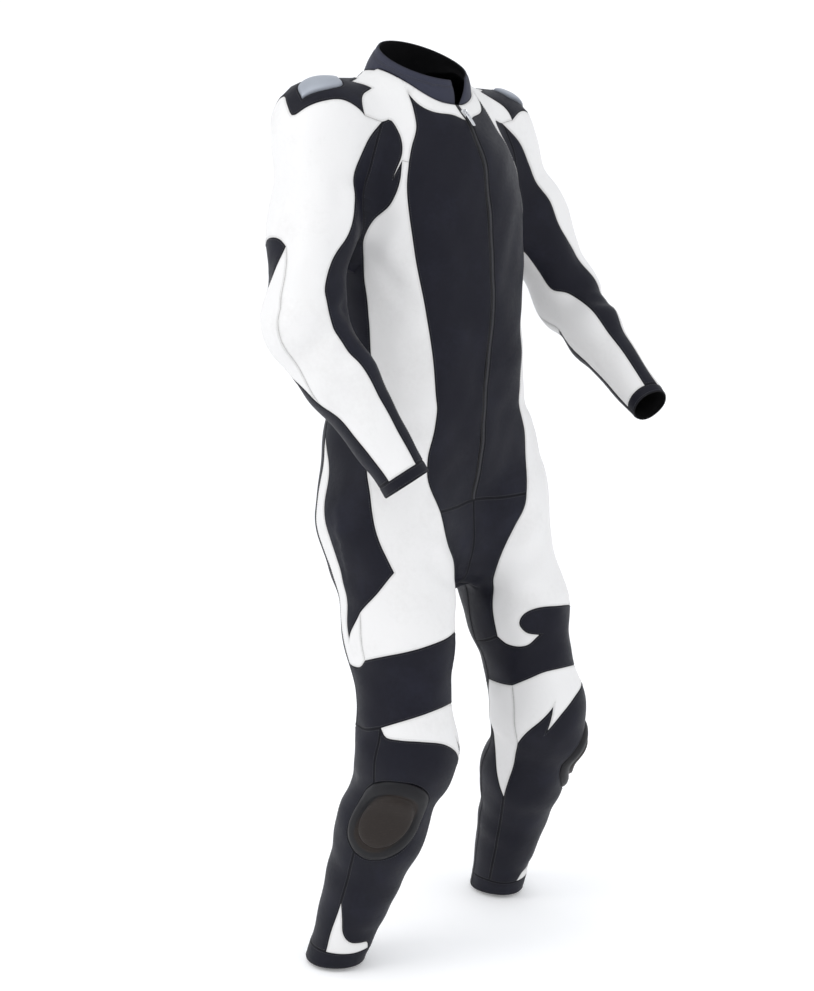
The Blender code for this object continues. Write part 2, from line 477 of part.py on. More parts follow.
# Each seam: where it starts, where it ends, the map it is drawn in, and the places it passes.
# A third value marks a corner.
SEAMS = {
    # neck and zip
    "neck_front": ("neck_zip", "neck_side", "neck", level_rows(ZIP_DEG, 128, 1.0)),
    "neck_rear": ("neck_side", "neck_yoke", "neck", []),
    "neck_nape": ("neck_yoke", "neck_back", "neck", []),
    "zip_top": ("neck_zip", "bib_zip", "ahead", []),
    "zip_edge": ("bib_zip", "fly_zip", "ahead",
                 [(ZIP_HALF, z) for z in (-0.06, -0.12, -0.25, -0.40, -0.50)]),
    "fly_end": ("fly_centre", "fly_zip", "ahead", []),
    "fly": ("fly_zip", "fly_side", "body", [(-24, -0.577), (-8, -0.576)]),
    "rise": ("fly_centre", "rise_front", "ahead", [(0.0, -0.62), (0.0, -0.68)]),
    # front
    "bib_top": ("bib_zip", "bib_tip", "body", [(15, -0.016), (38, -0.014), (51, -0.010)]),
    "bib_strap": ("bib_tip", "strap_in", "body", [(54, -0.016), (50, -0.036), (52.5, -0.062)]),
    "bib_side": ("strap_in", "fly_side", "body",
                 [(54, -0.120), (50, -0.200), (44.5, -0.280), (40.5, -0.350), (38.5, -0.415),
                  (36, -0.465), (28, -0.520)]),
    "inner_thigh": ("fly_side", "band_in", "body",
                    [(-14, -0.620), (-33, -0.657), (-53, -0.708), (-66, -0.757)]),
    "strap": ("strap_in", "strap_out", "body", []),
    "side_top": ("hole_front", "strap_out", "body",
                 [(67, -0.041), (60.5, -0.052), (58, -0.072), (61.5, -0.104, 1)]),
    "side_front": ("strap_out", "panel_tip", "body",
                   [(58, -0.109), (62.5, -0.138), (70.5, -0.160), (76, -0.198), (77, -0.240),
                    (75.5, -0.290), (74, -0.420), (71.5, -0.500), (64, -0.550)]),
    "panel_low": ("panel_tip", "panel_edge", "body", [(60, -0.686)]),
    "panel_end": ("panel_edge", "stripe_low", "body", [(98, -0.742)]),
    "thigh_out": ("panel_edge", "band_front", "body", []),
    "stripe_front": ("stripe_top", "stripe_low", "body",
                     [(107, -0.540), (105, -0.620), (108, -0.700)]),
    "stripe_back": ("stripe_top", "band_out", "body",
                    [(121, -0.530), (126, -0.600), (131, -0.680), (132, -0.750)]),
    # shoulder
    "yoke_edge": ("neck_side", "yoke_tip", "body",
                  [(120, -0.007), (106, -0.014), (98, -0.019), (91, -0.031, 1), (86.5, -0.024),
                   (83, -0.022, 1),
                   (80, -0.040)]),
    "yoke_hole": ("yoke_tip", "hole_front", "arm", []),
    "yoke_low": ("yoke_tip", "hole_top", "arm",
                 [(60, 0.103), (72, 0.120), (82, 0.128), (91, 0.132), (98, 0.124), (105, 0.114),
                  (121, 0.110)]),
    "yoke_rear": ("hole_top", "neck_yoke", "body", [(118, -0.032)]),
    "cup_fore": ("cup_in", "cup_out", "arm", [(73, 0.093), (75, 0.109)]),
    "cup_rear": ("cup_out", "cup_in", "arm", [(95, 0.110), (93, 0.096)]),
    # back
    "back_top": ("neck_back", "waist_back", "behind", [(0.0, -0.05), (0.0, -0.15), (0.0, -0.30)]),
    "waist": ("waist_back", "waist_side", "body", [(160, -0.435), (138, -0.435)]),
    "back_side": ("hole_back", "waist_side", "body", [(122, -0.200), (116, -0.320)]),
    "seat_side": ("waist_side", "stripe_top", "body", []),
    "seat": ("waist_back", "rise_back", "behind",
             [(0.0, -0.50), (0.0, -0.57), (0.0, -0.63), (0.0, -0.67)]),
    "gusset_front": ("rise_front", "rise_side", "down", [(0.036, -0.062)]),
    "gusset_back": ("rise_side", "rise_back", "down", [(0.036, 0.008)]),
    "inseam": ("rise_side", "band_seam", "body", []),
    # armhole
    "hole_a": ("hole_front", "hole_inner", "arm",
               [(22, 0.092), (0, 0.115), (-20, 0.142), (-40, 0.175), (-60, 0.214)]),
    "hole_b": ("hole_inner", "hole_under", "arm",
               [(-92, 0.250), (-108, 0.238), (-124, 0.205), (-138, 0.172)]),
    "hole_c": ("hole_under", "hole_back", "arm", [(-168, 0.132)]),
    "hole_d": ("hole_back", "hole_top", "arm", [(-204, 0.116)]),
    # sleeve
    "sleeve_front": ("hole_front", "cuff_front", "arm",
                     [(31, 0.100), (14, 0.135), (1, 0.165), (-3, 0.195), (-5, 0.243),
                      (13, 0.285), (18, 0.323), (9, 0.390), (0, 0.450), (-6, 0.520)]),
    "sleeve_inner": ("hole_inner", "cuff_inner", "arm",
                     [(-71, 0.300), (-66, 0.350), (-55, 0.430), (-48, 0.520)]),
    "under_a": ("hole_under", "flame_top", "arm", [(-150, 0.190)]),
    "under_b": ("flame_top", "flame_low", "arm", []),
    "under_c": ("flame_low", "elbow_low", "arm", [(210, 0.350)]),
    "under_d": ("elbow_low", "cuff_back", "arm", [(210, 0.470), (210, 0.540)]),
    "flame_over": ("flame_tip", "flame_top", "arm", [(100, 0.250), (122, 0.242), (165, 0.238)]),
    "flame_under": ("flame_tip", "flame_low", "arm",
                    [(98, 0.276), (106, 0.288), (124, 0.308), (165, 0.312)]),
    "elbow_seam": ("flame_tip", "elbow_tip", "arm",
                   [(81, 0.290), (79, 0.325), (87, 0.380), (95, 0.425)]),
    "strip_top": ("elbow_tip", "elbow_low", "arm", [(110, 0.436), (135, 0.408), (170, 0.396)]),
    "strip_front": ("elbow_tip", "cuff_under", "arm", [(86, 0.490), (77, 0.535)]),
    "cuff_a": ("cuff_inner", "cuff_front", "arm", level_rows(-50, -4, CUFF_S)),
    "cuff_b": ("cuff_front", "cuff_under", "arm", level_rows(-4, 73, CUFF_S)),
    "cuff_c": ("cuff_under", "cuff_back", "arm", level_rows(73, 210, CUFF_S)),
    "cuff_d": ("cuff_back", "cuff_inner", "arm", level_rows(210, 310, CUFF_S)),
    "cuff_rim": ("cuff_end", "cuff_end", "arm", level_rows(210, -150, CUFF_END, 24)),
    "cuff_join": ("cuff_back", "cuff_end", "arm", []),
    # leg
    "band_a": ("band_out", "band_front", "body", [(112, -0.803), (98, -0.799)]),
    "band_b": ("band_front", "band_in", "body",
               [(62, -0.775), (39, -0.765), (8, -0.752), (-15, -0.750), (-31, -0.761),
                (-38, -0.778), (-33, -0.791), (-20, -0.795, 1), (-37, -0.812), (-64, -0.813)]),
    "band_c": ("band_in", "band_seam", "body", [(-98, -0.813)]),
    "band_back": ("band_out", "under_back", "body", []),
    "band_side": ("band_seam", "under_seam", "body", []),
    "under_x": ("under_seam", "under_in", "body", [(-98, -0.882)]),
    "under_y": ("under_in", "under_out", "body",
                [(-48, -0.866), (-22, -0.854), (8, -0.853), (33, -0.859), (55, -0.868)]),
    "under_z": ("under_out", "under_back", "body", [(98, -0.886)]),
    "white_seam": ("under_in", "white_side", "body", [(-69, -0.925)]),
    "white_edge": ("under_out", "white_side", "body",
                   [(66, -0.888), (50, -0.890), (29, -0.892), (5, -0.900), (-15, -0.918),
                    (-32, -0.947, 1), (-25, -0.908, 1), (-38, -0.928), (-53, -0.950)]),
    "white_point": ("white_side", "white_low", "body", [(-69.5, -1.000), (-69, -1.030)]),
    "calf_edge": ("calf_seam", "white_low", "body", [(-104, -1.015)]),
    "calf_line": ("white_low", "hem_in", "body", [(-71, -1.140), (-70, -1.200)]),
    "knee_seam": ("under_seam", "calf_seam", "body", []),
    "knee_back": ("under_back", "under_seam", "body", [(150, -0.905), (180, -0.915), (210, -0.903)]),
    "calf_inseam": ("calf_seam", "hem_seam", "body", [(-128, -1.060), (-126, -1.160)]),
    "shin_a": ("under_out", "puck_top", "body", [(76, -0.920)]),
    "shin_b": ("puck_low", "ankle_top", "body", [(76, -1.120)]),
    "shin_c": ("ankle_top", "hem_out", "body", [(76, -1.215)]),
    "puck_fore": ("puck_top", "puck_low", "body", oval_rows(PUCK_AT, PUCK_HALF, 59, 301, 9)),
    "puck_rear": ("puck_low", "puck_top", "body", oval_rows(PUCK_AT, PUCK_HALF, -59, 59, 4)),
    "ankle_edge": ("ankle_top", "ankle_tip", "body",
                   [(63, -1.195), (52, -1.220), (35, -1.235), (12, -1.240), (-4, -1.243)]),
    "hem_a": ("hem_seam", "hem_in", "body", level_rows(-125, -70, HEM_V)),
    "hem_b": ("hem_in", "ankle_tip", "body", level_rows(-70, -14, HEM_V)),
    "hem_c": ("ankle_tip", "hem_out", "body", level_rows(-14, 73, HEM_V)),
    "hem_d": ("hem_out", "hem_seam", "body", level_rows(73, 235, HEM_V)),
    "hem_rim": ("hem_end", "hem_end", "body", level_rows(-125, 235, HEM_END, 24)),
    "hem_join": ("hem_seam", "hem_end", "body", []),
}

# Each leather piece: its map, the turn its places are counted about, its loop of seams (a minus
# runs one backwards) and the loops left open in it, its fineness, and its colour.
PIECES = {
    "shoulder_yoke": ("body", 100, "neck_rear -yoke_rear -yoke_low -yoke_edge",
                      "cup_fore cup_rear", 0.55, "black"),
    "yoke_front": ("body", 60, "neck_front yoke_edge yoke_hole side_top -strap -bib_strap"
                   " -bib_top -zip_top", "", 0.7, "white"),
    "front_center": ("body", 30, "bib_top bib_strap bib_side -fly -zip_edge", "", 1.0, "black"),
    "crotch_front": ("body", -40, "fly_end fly inner_thigh band_c -inseam -gusset_front -rise",
                     "", 0.7, "black"),
    "side_front": ("body", 40, "strap side_front panel_low thigh_out band_b -inner_thigh"
                   " -bib_side", "", 1.0, "white"),
    "side_panel": ("body", 85, "side_top side_front panel_low panel_end -stripe_front"
                   " -seat_side -back_side -hole_c -hole_b -hole_a", "", 1.0, "black"),
    "side_stripe": ("body", 115, "stripe_front -panel_end thigh_out -band_a -stripe_back", "",
                    0.8, "white"),
    "back_upper": ("body", 140, "neck_nape back_top waist -back_side hole_d yoke_rear", "", 1.0,
                   "black"),
    "back_seat": ("body", 170, "seat -gusset_back inseam band_side -knee_back -band_back"
                  " -stripe_back -seat_side -waist", "", 0.9, "black"),
    "sleeve_front": ("arm", -20, "sleeve_front -cuff_a -sleeve_inner -hole_a", "", 0.85, "black"),
    "sleeve_outer": ("arm", 70, "yoke_hole sleeve_front cuff_b -strip_front -elbow_seam"
                     " flame_over -under_a hole_c hole_d -yoke_low", "", 0.7, "white"),
    "sleeve_inner": ("arm", -100, "hole_b under_a under_b under_c under_d cuff_d -sleeve_inner",
                     "", 0.85, "white"),
    "sleeve_flame": ("arm", 150, "flame_over under_b -flame_under", "", 0.8, "black"),
    "elbow": ("arm", 150, "flame_under under_c -strip_top -elbow_seam", "", 0.8, "white"),
    "sleeve_under": ("arm", 140, "strip_top under_d -cuff_c -strip_front", "", 0.8, "black"),
    "cuff": ("arm", 210, "cuff_d cuff_a cuff_b cuff_c cuff_join cuff_rim -cuff_join", "", 0.8,
             "black"),
    "knee_band": ("body", 0, "band_a band_b band_c band_side under_x under_y under_z -band_back",
                  "", 1.0, "black"),
    "knee_white": ("body", 0, "white_edge -white_seam under_y", "", 0.8, "white"),
    "calf_flame": ("body", -95, "under_x white_seam white_point -calf_edge -knee_seam", "", 0.8,
                   "white"),
    "shin": ("body", 0, "shin_a puck_fore shin_b ankle_edge -hem_b -calf_line -white_point"
             " -white_edge", "", 0.9, "black"),
    "calf_back": ("body", 100, "under_z knee_back knee_seam calf_inseam -hem_d -shin_c -shin_b"
                  " puck_rear -shin_a", "", 0.9, "black"),
    "calf_inner": ("body", -95, "calf_edge calf_line -hem_a -calf_inseam", "", 0.8, "black"),
    "ankle_flame": ("body", 30, "ankle_edge hem_c -shin_c", "", 0.7, "white"),
    "hem": ("body", -125, "hem_a hem_b hem_c hem_d hem_join -hem_rim -hem_join", "", 0.8,
            "black"),
}


def flow(points, per_run=12):
    """A smooth line through a few points in a flat map, as dense points."""
    points = np.asarray(points, float)
    if len(points) == 2:
        return between(points[0], points[1], np.linspace(0, 1, 2 * per_run)[:, None])
    run = np.r_[0, np.cumsum(np.sqrt(np.linalg.norm(np.diff(points, axis=0), axis=1)))]
    slope = np.gradient(points, run, axis=0)
    slope[0] = (points[1] - points[0]) / (run[1] - run[0])
    slope[-1] = (points[-1] - points[-2]) / (run[-1] - run[-2])
    dense = []
    for i, width in enumerate(np.diff(run)):
        t = np.linspace(0, 1, per_run, endpoint=False)[:, None]
        dense.append(points[i] * (1 + 2 * t) * (1 - t) ** 2 + slope[i] * width * t * (1 - t) ** 2
                     + points[i + 1] * t * t * (3 - 2 * t) + slope[i + 1] * width * t * t * (t - 1))
    return np.vstack(dense + [points[-1:]])


def near_turn(turn, other):
    """The same turn, given within half a turn of another."""
    return other + (turn - other + 180.0) % 360.0 - 180.0


def node_points(chart):
    """Where every named node is."""
    found = {}
    for way in {row[0] for row in NODES.values()}:
        names = [name for name, row in NODES.items() if row[0] == way]
        points = chart[way].point(np.array([NODES[name][1:] for name in names], float))
        found.update(zip(names, points))
    return found


def seam_line(name, chart, nodes, step):
    """Points along a named seam, evenly spaced between its corners."""
    first, last, way, rows = SEAMS[name]
    here = chart[way]
    ends = [nodes[first], nodes[last]]
    start, stop = [here.place(end[None])[0] for end in ends]
    if way in ("body", "arm", "neck"):
        start[0] = near_turn(start[0], rows[0][0] if rows else start[0])
        stop[0] = near_turn(stop[0], rows[-1][0] if rows else start[0])
    places = [tuple(start)] + [tuple(row[:2]) for row in rows] + [tuple(stop)]
    corners = [0] + [i + 1 for i, row in enumerate(rows) if len(row) > 2] + [len(places) - 1]
    line = []
    for i, j in zip(corners[:-1], corners[1:]):
        dense = flow(to_flat(here, np.array(places[i:j + 1], float)))
        solid = here.point(from_flat(here, dense))
        run = np.r_[0, np.cumsum(np.linalg.norm(np.diff(solid, axis=0), axis=1))]
        count = max(1, math.ceil(run[-1] / step - 0.25))
        even = np.interp(np.linspace(0, run[-1], count + 1), run, np.arange(len(dense)))
        steps = np.arange(len(dense))
        flat = np.stack([np.interp(even, steps, dense[:, k]) for k in range(2)], axis=-1)
        points = here.point(from_flat(here, flat))
        points[0] = ends[0] if i == 0 else points[0]
        points[-1] = ends[1] if j == len(places) - 1 else points[-1]
        line.append(points if i == 0 else points[1:])
    return np.vstack(line)


def to_flat(chart, place):
    return chart.flat(place) if hasattr(chart, "flat") else place


def from_flat(chart, uv):
    return chart.unflat(uv) if hasattr(chart, "unflat") else uv


def joined(lines):
    """One closed loop of points from lines that follow each other."""
    return np.vstack([line[:-1] for line in lines])


def loop_points(text, seams):
    """The closed loop of a piece, from the names of its seams."""
    lines = [seams[name[1:]][::-1] if name[0] == "-" else seams[name] for name in text.split()]
    for line, following in zip(lines, lines[1:] + lines[:1]):
        assert np.allclose(line[-1], following[0], atol=1e-6), text
    return joined(lines)


def loop_places(chart, points, about):
    """Flat places along a loop, followed round so that no turn is skipped."""
    place = chart.place(points, about)
    if hasattr(chart, "flat"):
        place[:, 0] = np.degrees(np.unwrap(np.radians(place[:, 0])))
        place[:, 0] += 360.0 * round((about - place[0, 0]) / 360.0)
    return to_flat(chart, place)


def signed_area(uv):
    ahead = np.roll(uv, -1, axis=0)
    return 0.5 * np.sum(uv[:, 0] * ahead[:, 1] - ahead[:, 0] * uv[:, 1])


def inset(points, normal, turn, distance):
    """The loop drawn in from its seams by a distance, square to each."""
    ahead, behind = np.roll(points, -1, axis=0), np.roll(points, 1, axis=0)
    left = unit(np.cross(normal, unit(points - behind))) * turn
    right = unit(np.cross(normal, unit(ahead - points))) * turn
    spread = np.maximum(1.0 + (left * right).sum(-1, keepdims=True), 0.06)
    return points + (left + right) * (distance / spread)


def within(uv, loops):
    """Which places lie inside the outer loop and outside the others."""
    inside = np.zeros(len(uv), bool)
    for loop in loops:
        a, b = loop, np.roll(loop, -1, axis=0)
        for (ax, ay), (bx, by) in zip(a, b):
            if ay != by:
                crosses = (uv[:, 1] < ay) != (uv[:, 1] < by)
                at = ax + (bx - ax) * (uv[:, 1] - ay) / (by - ay)
                inside ^= crosses & (uv[:, 0] < at)
    return inside


def loop_distance(uv, loops):
    """How far places are from the nearest loop."""
    best = np.full(len(uv), 9.0)
    for loop in loops:
        a, b = loop, np.roll(loop, -1, axis=0)
        for start, stop in zip(a, b):
            run = stop - start
            share = np.clip(((uv - start) @ run) / max(run @ run, 1e-12), 0, 1)
            best = np.minimum(best, np.linalg.norm(uv - start - share[:, None] * run, axis=1))
    return best


def filling(loops, step):
    """Evenly spread places inside a loop, on a triangular grid."""
    low, high = loops[0].min(axis=0), loops[0].max(axis=0)
    rows = np.arange(low[1] + step / 2, high[1], step * math.sqrt(3) / 2)
    columns = np.arange(low[0], high[0], step)
    grid = np.array([(u + (k % 2) * step / 2, v) for k, v in enumerate(rows) for u in columns])
    if not len(grid):
        return np.zeros((0, 2))
    grid = grid[within(grid, loops)]
    return grid[loop_distance(grid, loops) > 0.55 * step] if len(grid) else grid


def triangles(uv, loops):
    """Triangles over the loops and the places inside them.

    The loops divide the triangles into areas; each area is kept or dropped as its largest
    triangle lies.
    """
    start, edges = 0, []
    for loop in loops:
        count = len(loop)
        edges += [(start + i, start + (i + 1) % count) for i in range(count)]
        start += count
    made = delaunay_2d_cdt([Vector(p) for p in uv], edges, [], 0, 1e-7)
    assert len(made[0]) == len(uv), "two places fell together"
    faces = np.array([face for face in made[2]], int)
    drawn = {frozenset(edge) for edge in edges}
    group, shared = np.arange(len(faces)), {}
    for k, face in enumerate(faces):
        for edge in (frozenset((face[0], face[1])), frozenset((face[1], face[2])),
                     frozenset((face[2], face[0]))):
            if edge in drawn:
                continue
            if edge in shared:
                group[group == group[k]] = group[shared[edge]]
            shared[edge] = k
    a, b, c = (uv[faces[:, i]] for i in range(3))
    size = np.abs((b[:, 0] - a[:, 0]) * (c[:, 1] - a[:, 1]) - (b[:, 1] - a[:, 1]) * (c[:, 0] - a[:, 0]))
    largest = {g: np.flatnonzero(group == g)[np.argmax(size[group == g])] for g in np.unique(group)}
    inside = within((a + b + c) / 3, loops)
    return faces[[inside[largest[g]] for g in group]]


def piece_mesh(chart, loops, about, step, thickness=LEATHER, gap_half=SEAM_GAP / 2):
    """A leather piece: the area inside its first loop, less the others, thickened inwards."""
    flat = [loop_places(chart, loop, about) for loop in loops]
    drawn, under, facing = [], [], []
    for k, (loop, uv) in enumerate(zip(loops, flat)):
        normal = normals(loop)
        turn = piece_side(chart, loop, uv, normal) * (1 if k == 0 else -1)
        drawn.append(inset(loop, normal, turn, gap_half))
        under.append(inset(loop, normal, turn, gap_half + SEAM_LEAN))
        facing.append(normal)
    inner = filling(flat, step)
    places = np.vstack(flat + [inner])
    faces = triangles(places, flat)
    if len(inner):
        points = chart.point(from_flat(chart, inner))
        drawn.append(points)
        under.append(points)
        facing.append(normals(points))
    outer, below, normal = np.vstack(drawn), np.vstack(under), np.vstack(facing)
    middle = outer[faces]
    way = np.cross(middle[:, 1] - middle[:, 0], middle[:, 2] - middle[:, 0])
    if (way * normal[faces[:, 0]]).sum(-1).sum() < 0:
        faces = faces[:, ::-1]
    return closed_sheet(outer, below - thickness * normal, faces)


def piece_side(chart, loop, uv, normal):
    """+1 where the area lies to the left of the loop seen from outside, else -1."""
    turned = np.sign(signed_area(uv))
    k = len(loop) // 3
    u_step = np.array([1e-4, 0.0])
    here = from_flat(chart, uv[k:k + 1])
    a = chart.point(here)[0]
    b = chart.point(from_flat(chart, uv[k:k + 1] + u_step))[0]
    c = chart.point(from_flat(chart, uv[k:k + 1] + u_step[::-1]))[0]
    return turned * np.sign(np.cross(b - a, c - a) @ normal[k])


def closed_sheet(outer, inner, faces):
    """Vertices and faces of a sheet with an outer and an inner skin joined at its borders."""
    count = len(outer)
    seen = {}
    for face in faces:
        for a, b in zip(face, np.roll(face, -1)):
            seen[(int(a), int(b))] = True
    border = [(a, b) for a, b in seen if (b, a) not in seen]
    sides = [(b, a, a + count, b + count) for a, b in border]
    skin = [tuple(int(i) for i in face) for face in faces]
    back = [tuple(int(i) + count for i in face[::-1]) for face in faces]
    return np.vstack([outer, inner]), skin + back + sides


def boss_mesh(chart, loop, about, profile, thickness=LEATHER):
    """A hard cup set in a loop: rings from its rim to its middle, each with a height."""
    uv = loop_places(chart, loop, about)
    normal = normals(loop)
    rim = inset(loop, normal, piece_side(chart, loop, uv, normal), SEAM_GAP / 2)
    middle = uv.mean(axis=0)
    count, outer = len(loop), [rim]
    for share, height in profile[:-1]:
        points = chart.point(from_flat(chart, middle + (uv - middle) * share))
        outer.append(points + normals(points) * height)
    crown = chart.point(from_flat(chart, middle[None]))
    axis = normals(crown)
    inner = [rim - normal * thickness]
    half = chart.point(from_flat(chart, middle + (uv - middle) * 0.5))
    inner.append(half - normals(half) * thickness)
    verts = np.vstack(outer + [crown + axis * profile[-1][1]] + inner + [crown - axis * thickness])
    faces = []
    rings = [k * count for k in range(len(outer))]
    top = len(outer) * count
    for a, b in zip(rings[:-1], rings[1:]):
        faces += [(a + i, a + (i + 1) % count, b + (i + 1) % count, b + i) for i in range(count)]
    faces += [(rings[-1] + i, rings[-1] + (i + 1) % count, top) for i in range(count)]
    low, deep = top + 1, top + 1 + count
    faces += [(low + (i + 1) % count, low + i, deep + i, deep + (i + 1) % count)
              for i in range(count)]
    faces += [(deep + (i + 1) % count, deep + i, deep + count) for i in range(count)]
    faces += [((i + 1) % count, i, low + i, low + (i + 1) % count) for i in range(count)]
    a, b, c = verts[list(faces[0][:3])]
    if np.cross(b - a, c - a) @ normal[0] < 0:
        faces = [face[::-1] for face in faces]
    return verts, faces


# ---------------------------------------------------------------- collar and zip
COLLAR = 0.0030             # thickness of the collar
RIM_HALF, RIM_CENTRE, RIM_DEPTH = 0.069, 0.0045, 0.0604
RIM_LOW, RIM_SLOPE = 0.0385, 0.493  # height of the rim at its front, and its rise to the back
RIM_FRONT = -0.055          # y where the rim has that height
PARTED_RIGHT, PARTED_LEFT = 2.0, 34.0   # degrees between the middle and the ends of the rim
COLLAR_BULGE = 0.0025       # how far the collar swells outwards half way up
COLLAR_LIFT = 0.0006        # clear height between the collar's lower edge and the neck seam


def collar_mesh(base, turns):
    """The stand-up collar over the neck seam, from one side of the zip round to the other."""
    parted = np.where(turns < 0, ZIP_DEG - PARTED_RIGHT, PARTED_LEFT - ZIP_DEG)
    angle = np.radians(turns + parted * (1 - np.abs(turns) / 180.0) ** 2)
    y = RIM_CENTRE - RIM_DEPTH * np.cos(angle)
    rim = np.stack([RIM_HALF * np.sin(angle), y, RIM_LOW + RIM_SLOPE * (y - RIM_FRONT)], axis=-1)
    away = unit(np.stack([np.sin(angle), -np.cos(angle), 0 * angle], axis=-1))
    rows = []
    for share in (0.0, 0.25, 0.5, 0.75, 1.0):
        rows.append(between(base, rim, share) + away * COLLAR_BULGE * math.sin(math.pi * share)
                    + unit(rim - base) * (COLLAR_LIFT if share == 0 else 0.0))
    grid = np.stack(rows)
    along = np.gradient(grid, axis=1)
    up = np.gradient(grid, axis=0)
    normal = unit(np.cross(along, up))
    normal *= np.sign((normal * away[None]).sum(-1, keepdims=True))
    count = grid.shape[1]
    faces = [(r * count + i, r * count + i + 1, (r + 1) * count + i + 1, (r + 1) * count + i)
             for r in range(len(rows) - 1) for i in range(count - 1)]
    outer, facing = grid.reshape(-1, 3), normal.reshape(-1, 3)
    a, b, c, _ = outer[list(faces[0])]
    if np.cross(b - a, c - a) @ facing[0] < 0:
        faces = [face[::-1] for face in faces]
    return closed_sheet(outer, outer - facing * COLLAR, faces)


ZIP_SUNK = 0.0003           # how far the tape's edges lie below the leather's face
RIDGE_SHARE, RIDGE_TOP = 0.35, 0.30     # half widths of the row of teeth, as shares of ZIP_HALF
RIDGE_FOOT, RIDGE_HIGH = 0.0003, 0.0012
TAPE = 0.0014               # thickness of the tape


def zip_mesh(edge):
    """The closed zip: two tapes and a low ridge of teeth between the front pieces."""
    edge = edge.copy()
    edge[-1] += unit(edge[-2] - edge[-1]) * SEAM_GAP
    normal = normals(edge)
    left = edge - (SEAM_GAP / 2, 0, 0)
    columns = [left, left * (RIDGE_SHARE, 1, 1) + normal * RIDGE_FOOT,
               left * (RIDGE_TOP, 1, 1) + normal * RIDGE_HIGH]
    columns += [column * (-1, 1, 1) for column in columns[::-1]]
    for column in (columns[0], columns[-1]):
        column -= normal * ZIP_SUNK
    grid = np.stack(columns)
    count = grid.shape[1]
    faces = [(r * count + i, (r + 1) * count + i, (r + 1) * count + i + 1, r * count + i + 1)
             for r in range(len(columns) - 1) for i in range(count - 1)]
    outer = grid.reshape(-1, 3)
    inward = np.tile(normal, (len(columns), 1))
    flat = np.stack([column * (1, 0, 1) + (left * (0, 1, 0)) for column in columns])
    inner = flat.reshape(-1, 3) - inward * TAPE
    a, b, c, _ = outer[list(faces[0])]
    if np.cross(b - a, c - a) @ normal[0] < 0:
        faces = [face[::-1] for face in faces]
    return closed_sheet(outer, inner, faces)


# ---------------------------------------------------------------- finishes
FINISHES = {  # linear colour, roughness, metallic
    "black": ((0.018, 0.017, 0.022), 0.52, 0.0),
    "white": ((0.78, 0.77, 0.76), 0.50, 0.0),
    "collar": ((0.040, 0.042, 0.060), 0.58, 0.0),
    "armour": ((0.30, 0.33, 0.37), 0.32, 0.6),
    "slider": ((0.014, 0.012, 0.011), 0.42, 0.0),
    "metal": ((0.62, 0.63, 0.65), 0.30, 1.0),
    "zip": ((0.012, 0.012, 0.014), 0.60, 0.0),
}
WHO = {-1: "r", 1: "l"}
BOSS = {  # map, turn, loop, profile of (share of the way out, height), finish
    "shoulder_cup": ("arm", 83, "cup_fore cup_rear",
                     ((0.94, 0.0024), (0.80, 0.0040), (0.45, 0.0052), (0.0, 0.0056)), "armour"),
    "knee_puck": ("body", 40, "puck_fore puck_rear",
                  ((0.95, 0.0030), (0.88, 0.0056), (0.74, 0.0064), (0.68, 0.0045),
                   (0.62, 0.0090), (0.50, 0.0112), (0.25, 0.0121), (0.0, 0.0124)), "slider"),
}


def material(finish):
    """The Principled material of a finish, made once."""
    name = "suit_" + finish
    found = bpy.data.materials.get(name)
    if found:
        return found
    colour, roughness, metallic = FINISHES[finish]
    made = bpy.data.materials.new(name)
    made.use_nodes = True
    shader = made.node_tree.nodes["Principled BSDF"]
    shader.inputs["Base Color"].default_value = (*colour, 1.0)
    shader.inputs["Roughness"].default_value = roughness
    shader.inputs["Metallic"].default_value = metallic
    made.diffuse_color = (*colour, 1.0)
    return made


def add(name, verts, faces, finish, collection, at=(0.0, 0.0, 0.0)):
    """One named object from vertices and faces given in the suit's frame."""
    mesh = bpy.data.meshes.new(name)
    place = np.asarray(at, float)
    mesh.from_pydata([tuple(v) for v in np.asarray(verts) - place], [],
                     [tuple(int(i) for i in f) for f in faces])
    mesh.validate()
    made = bpy.data.objects.new(name, mesh)
    made.location = Vector(place)
    mesh.materials.append(material(finish))
    collection.objects.link(made)
    mesh.set_sharp_from_angle(angle=math.radians(40))
    for polygon in mesh.polygons:
        polygon.use_smooth = True
    return made


# ---------------------------------------------------------------- slider and pull tab
SLIDER_Z = -0.012           # height of the zip slider when the suit is closed
SLIDER_WIDE, SLIDER_LONG, SLIDER_THICK = 0.0090, 0.0130, 0.0032
SLIDER_CORNER, SLIDER_FOOT = 0.0012, 0.74   # corner radius, and the lower end's share of the width
SLIDER_LIFT = 0.0016        # underside of the slider over the cloth
BRIDGE_WIRE, BRIDGE_HALF, BRIDGE_RISE = 0.0009, 0.0046, 0.0042
BRIDGE_SUNK = 0.0006        # how far its feet are let into the slider
TAB_LONG, TAB_THICK = 0.0260, 0.0013
TAB_WINDOW_WIDE, TAB_WINDOW_LONG, TAB_WINDOW_CORNER = 0.0042, 0.0058, 0.0008
TAB_NECK, TAB_CORNER = 0.0030, 0.0012       # half width and corner radius at the bar
TAB_WAIST_AT, TAB_WAIST = -0.0100, 0.0034   # where the tab is slimmed, and its half width there
TAB_GRIP, TAB_END = 0.0032, 0.0025          # half width and corner radius at the free end
TAB_BAR = 0.0006            # half the width of the tab's bar under the bridge
TAB_AXIS = 0.00125          # the bar's middle over the slider's face
TAB_TILT = math.radians(4.0)    # the tab leans in until it rests on the slider's lower edge


def zip_frame(z):
    """Point, outward direction and upward direction on the zip's line at a height."""
    line = Straight(1, "ahead").point(np.array([(0.0, z - 0.004), (0.0, z), (0.0, z + 0.004)]))
    up = unit(line[2] - line[0])
    out = np.cross((1.0, 0.0, 0.0), up)
    return line[1], out * (1 if out[1] < 0 else -1), up


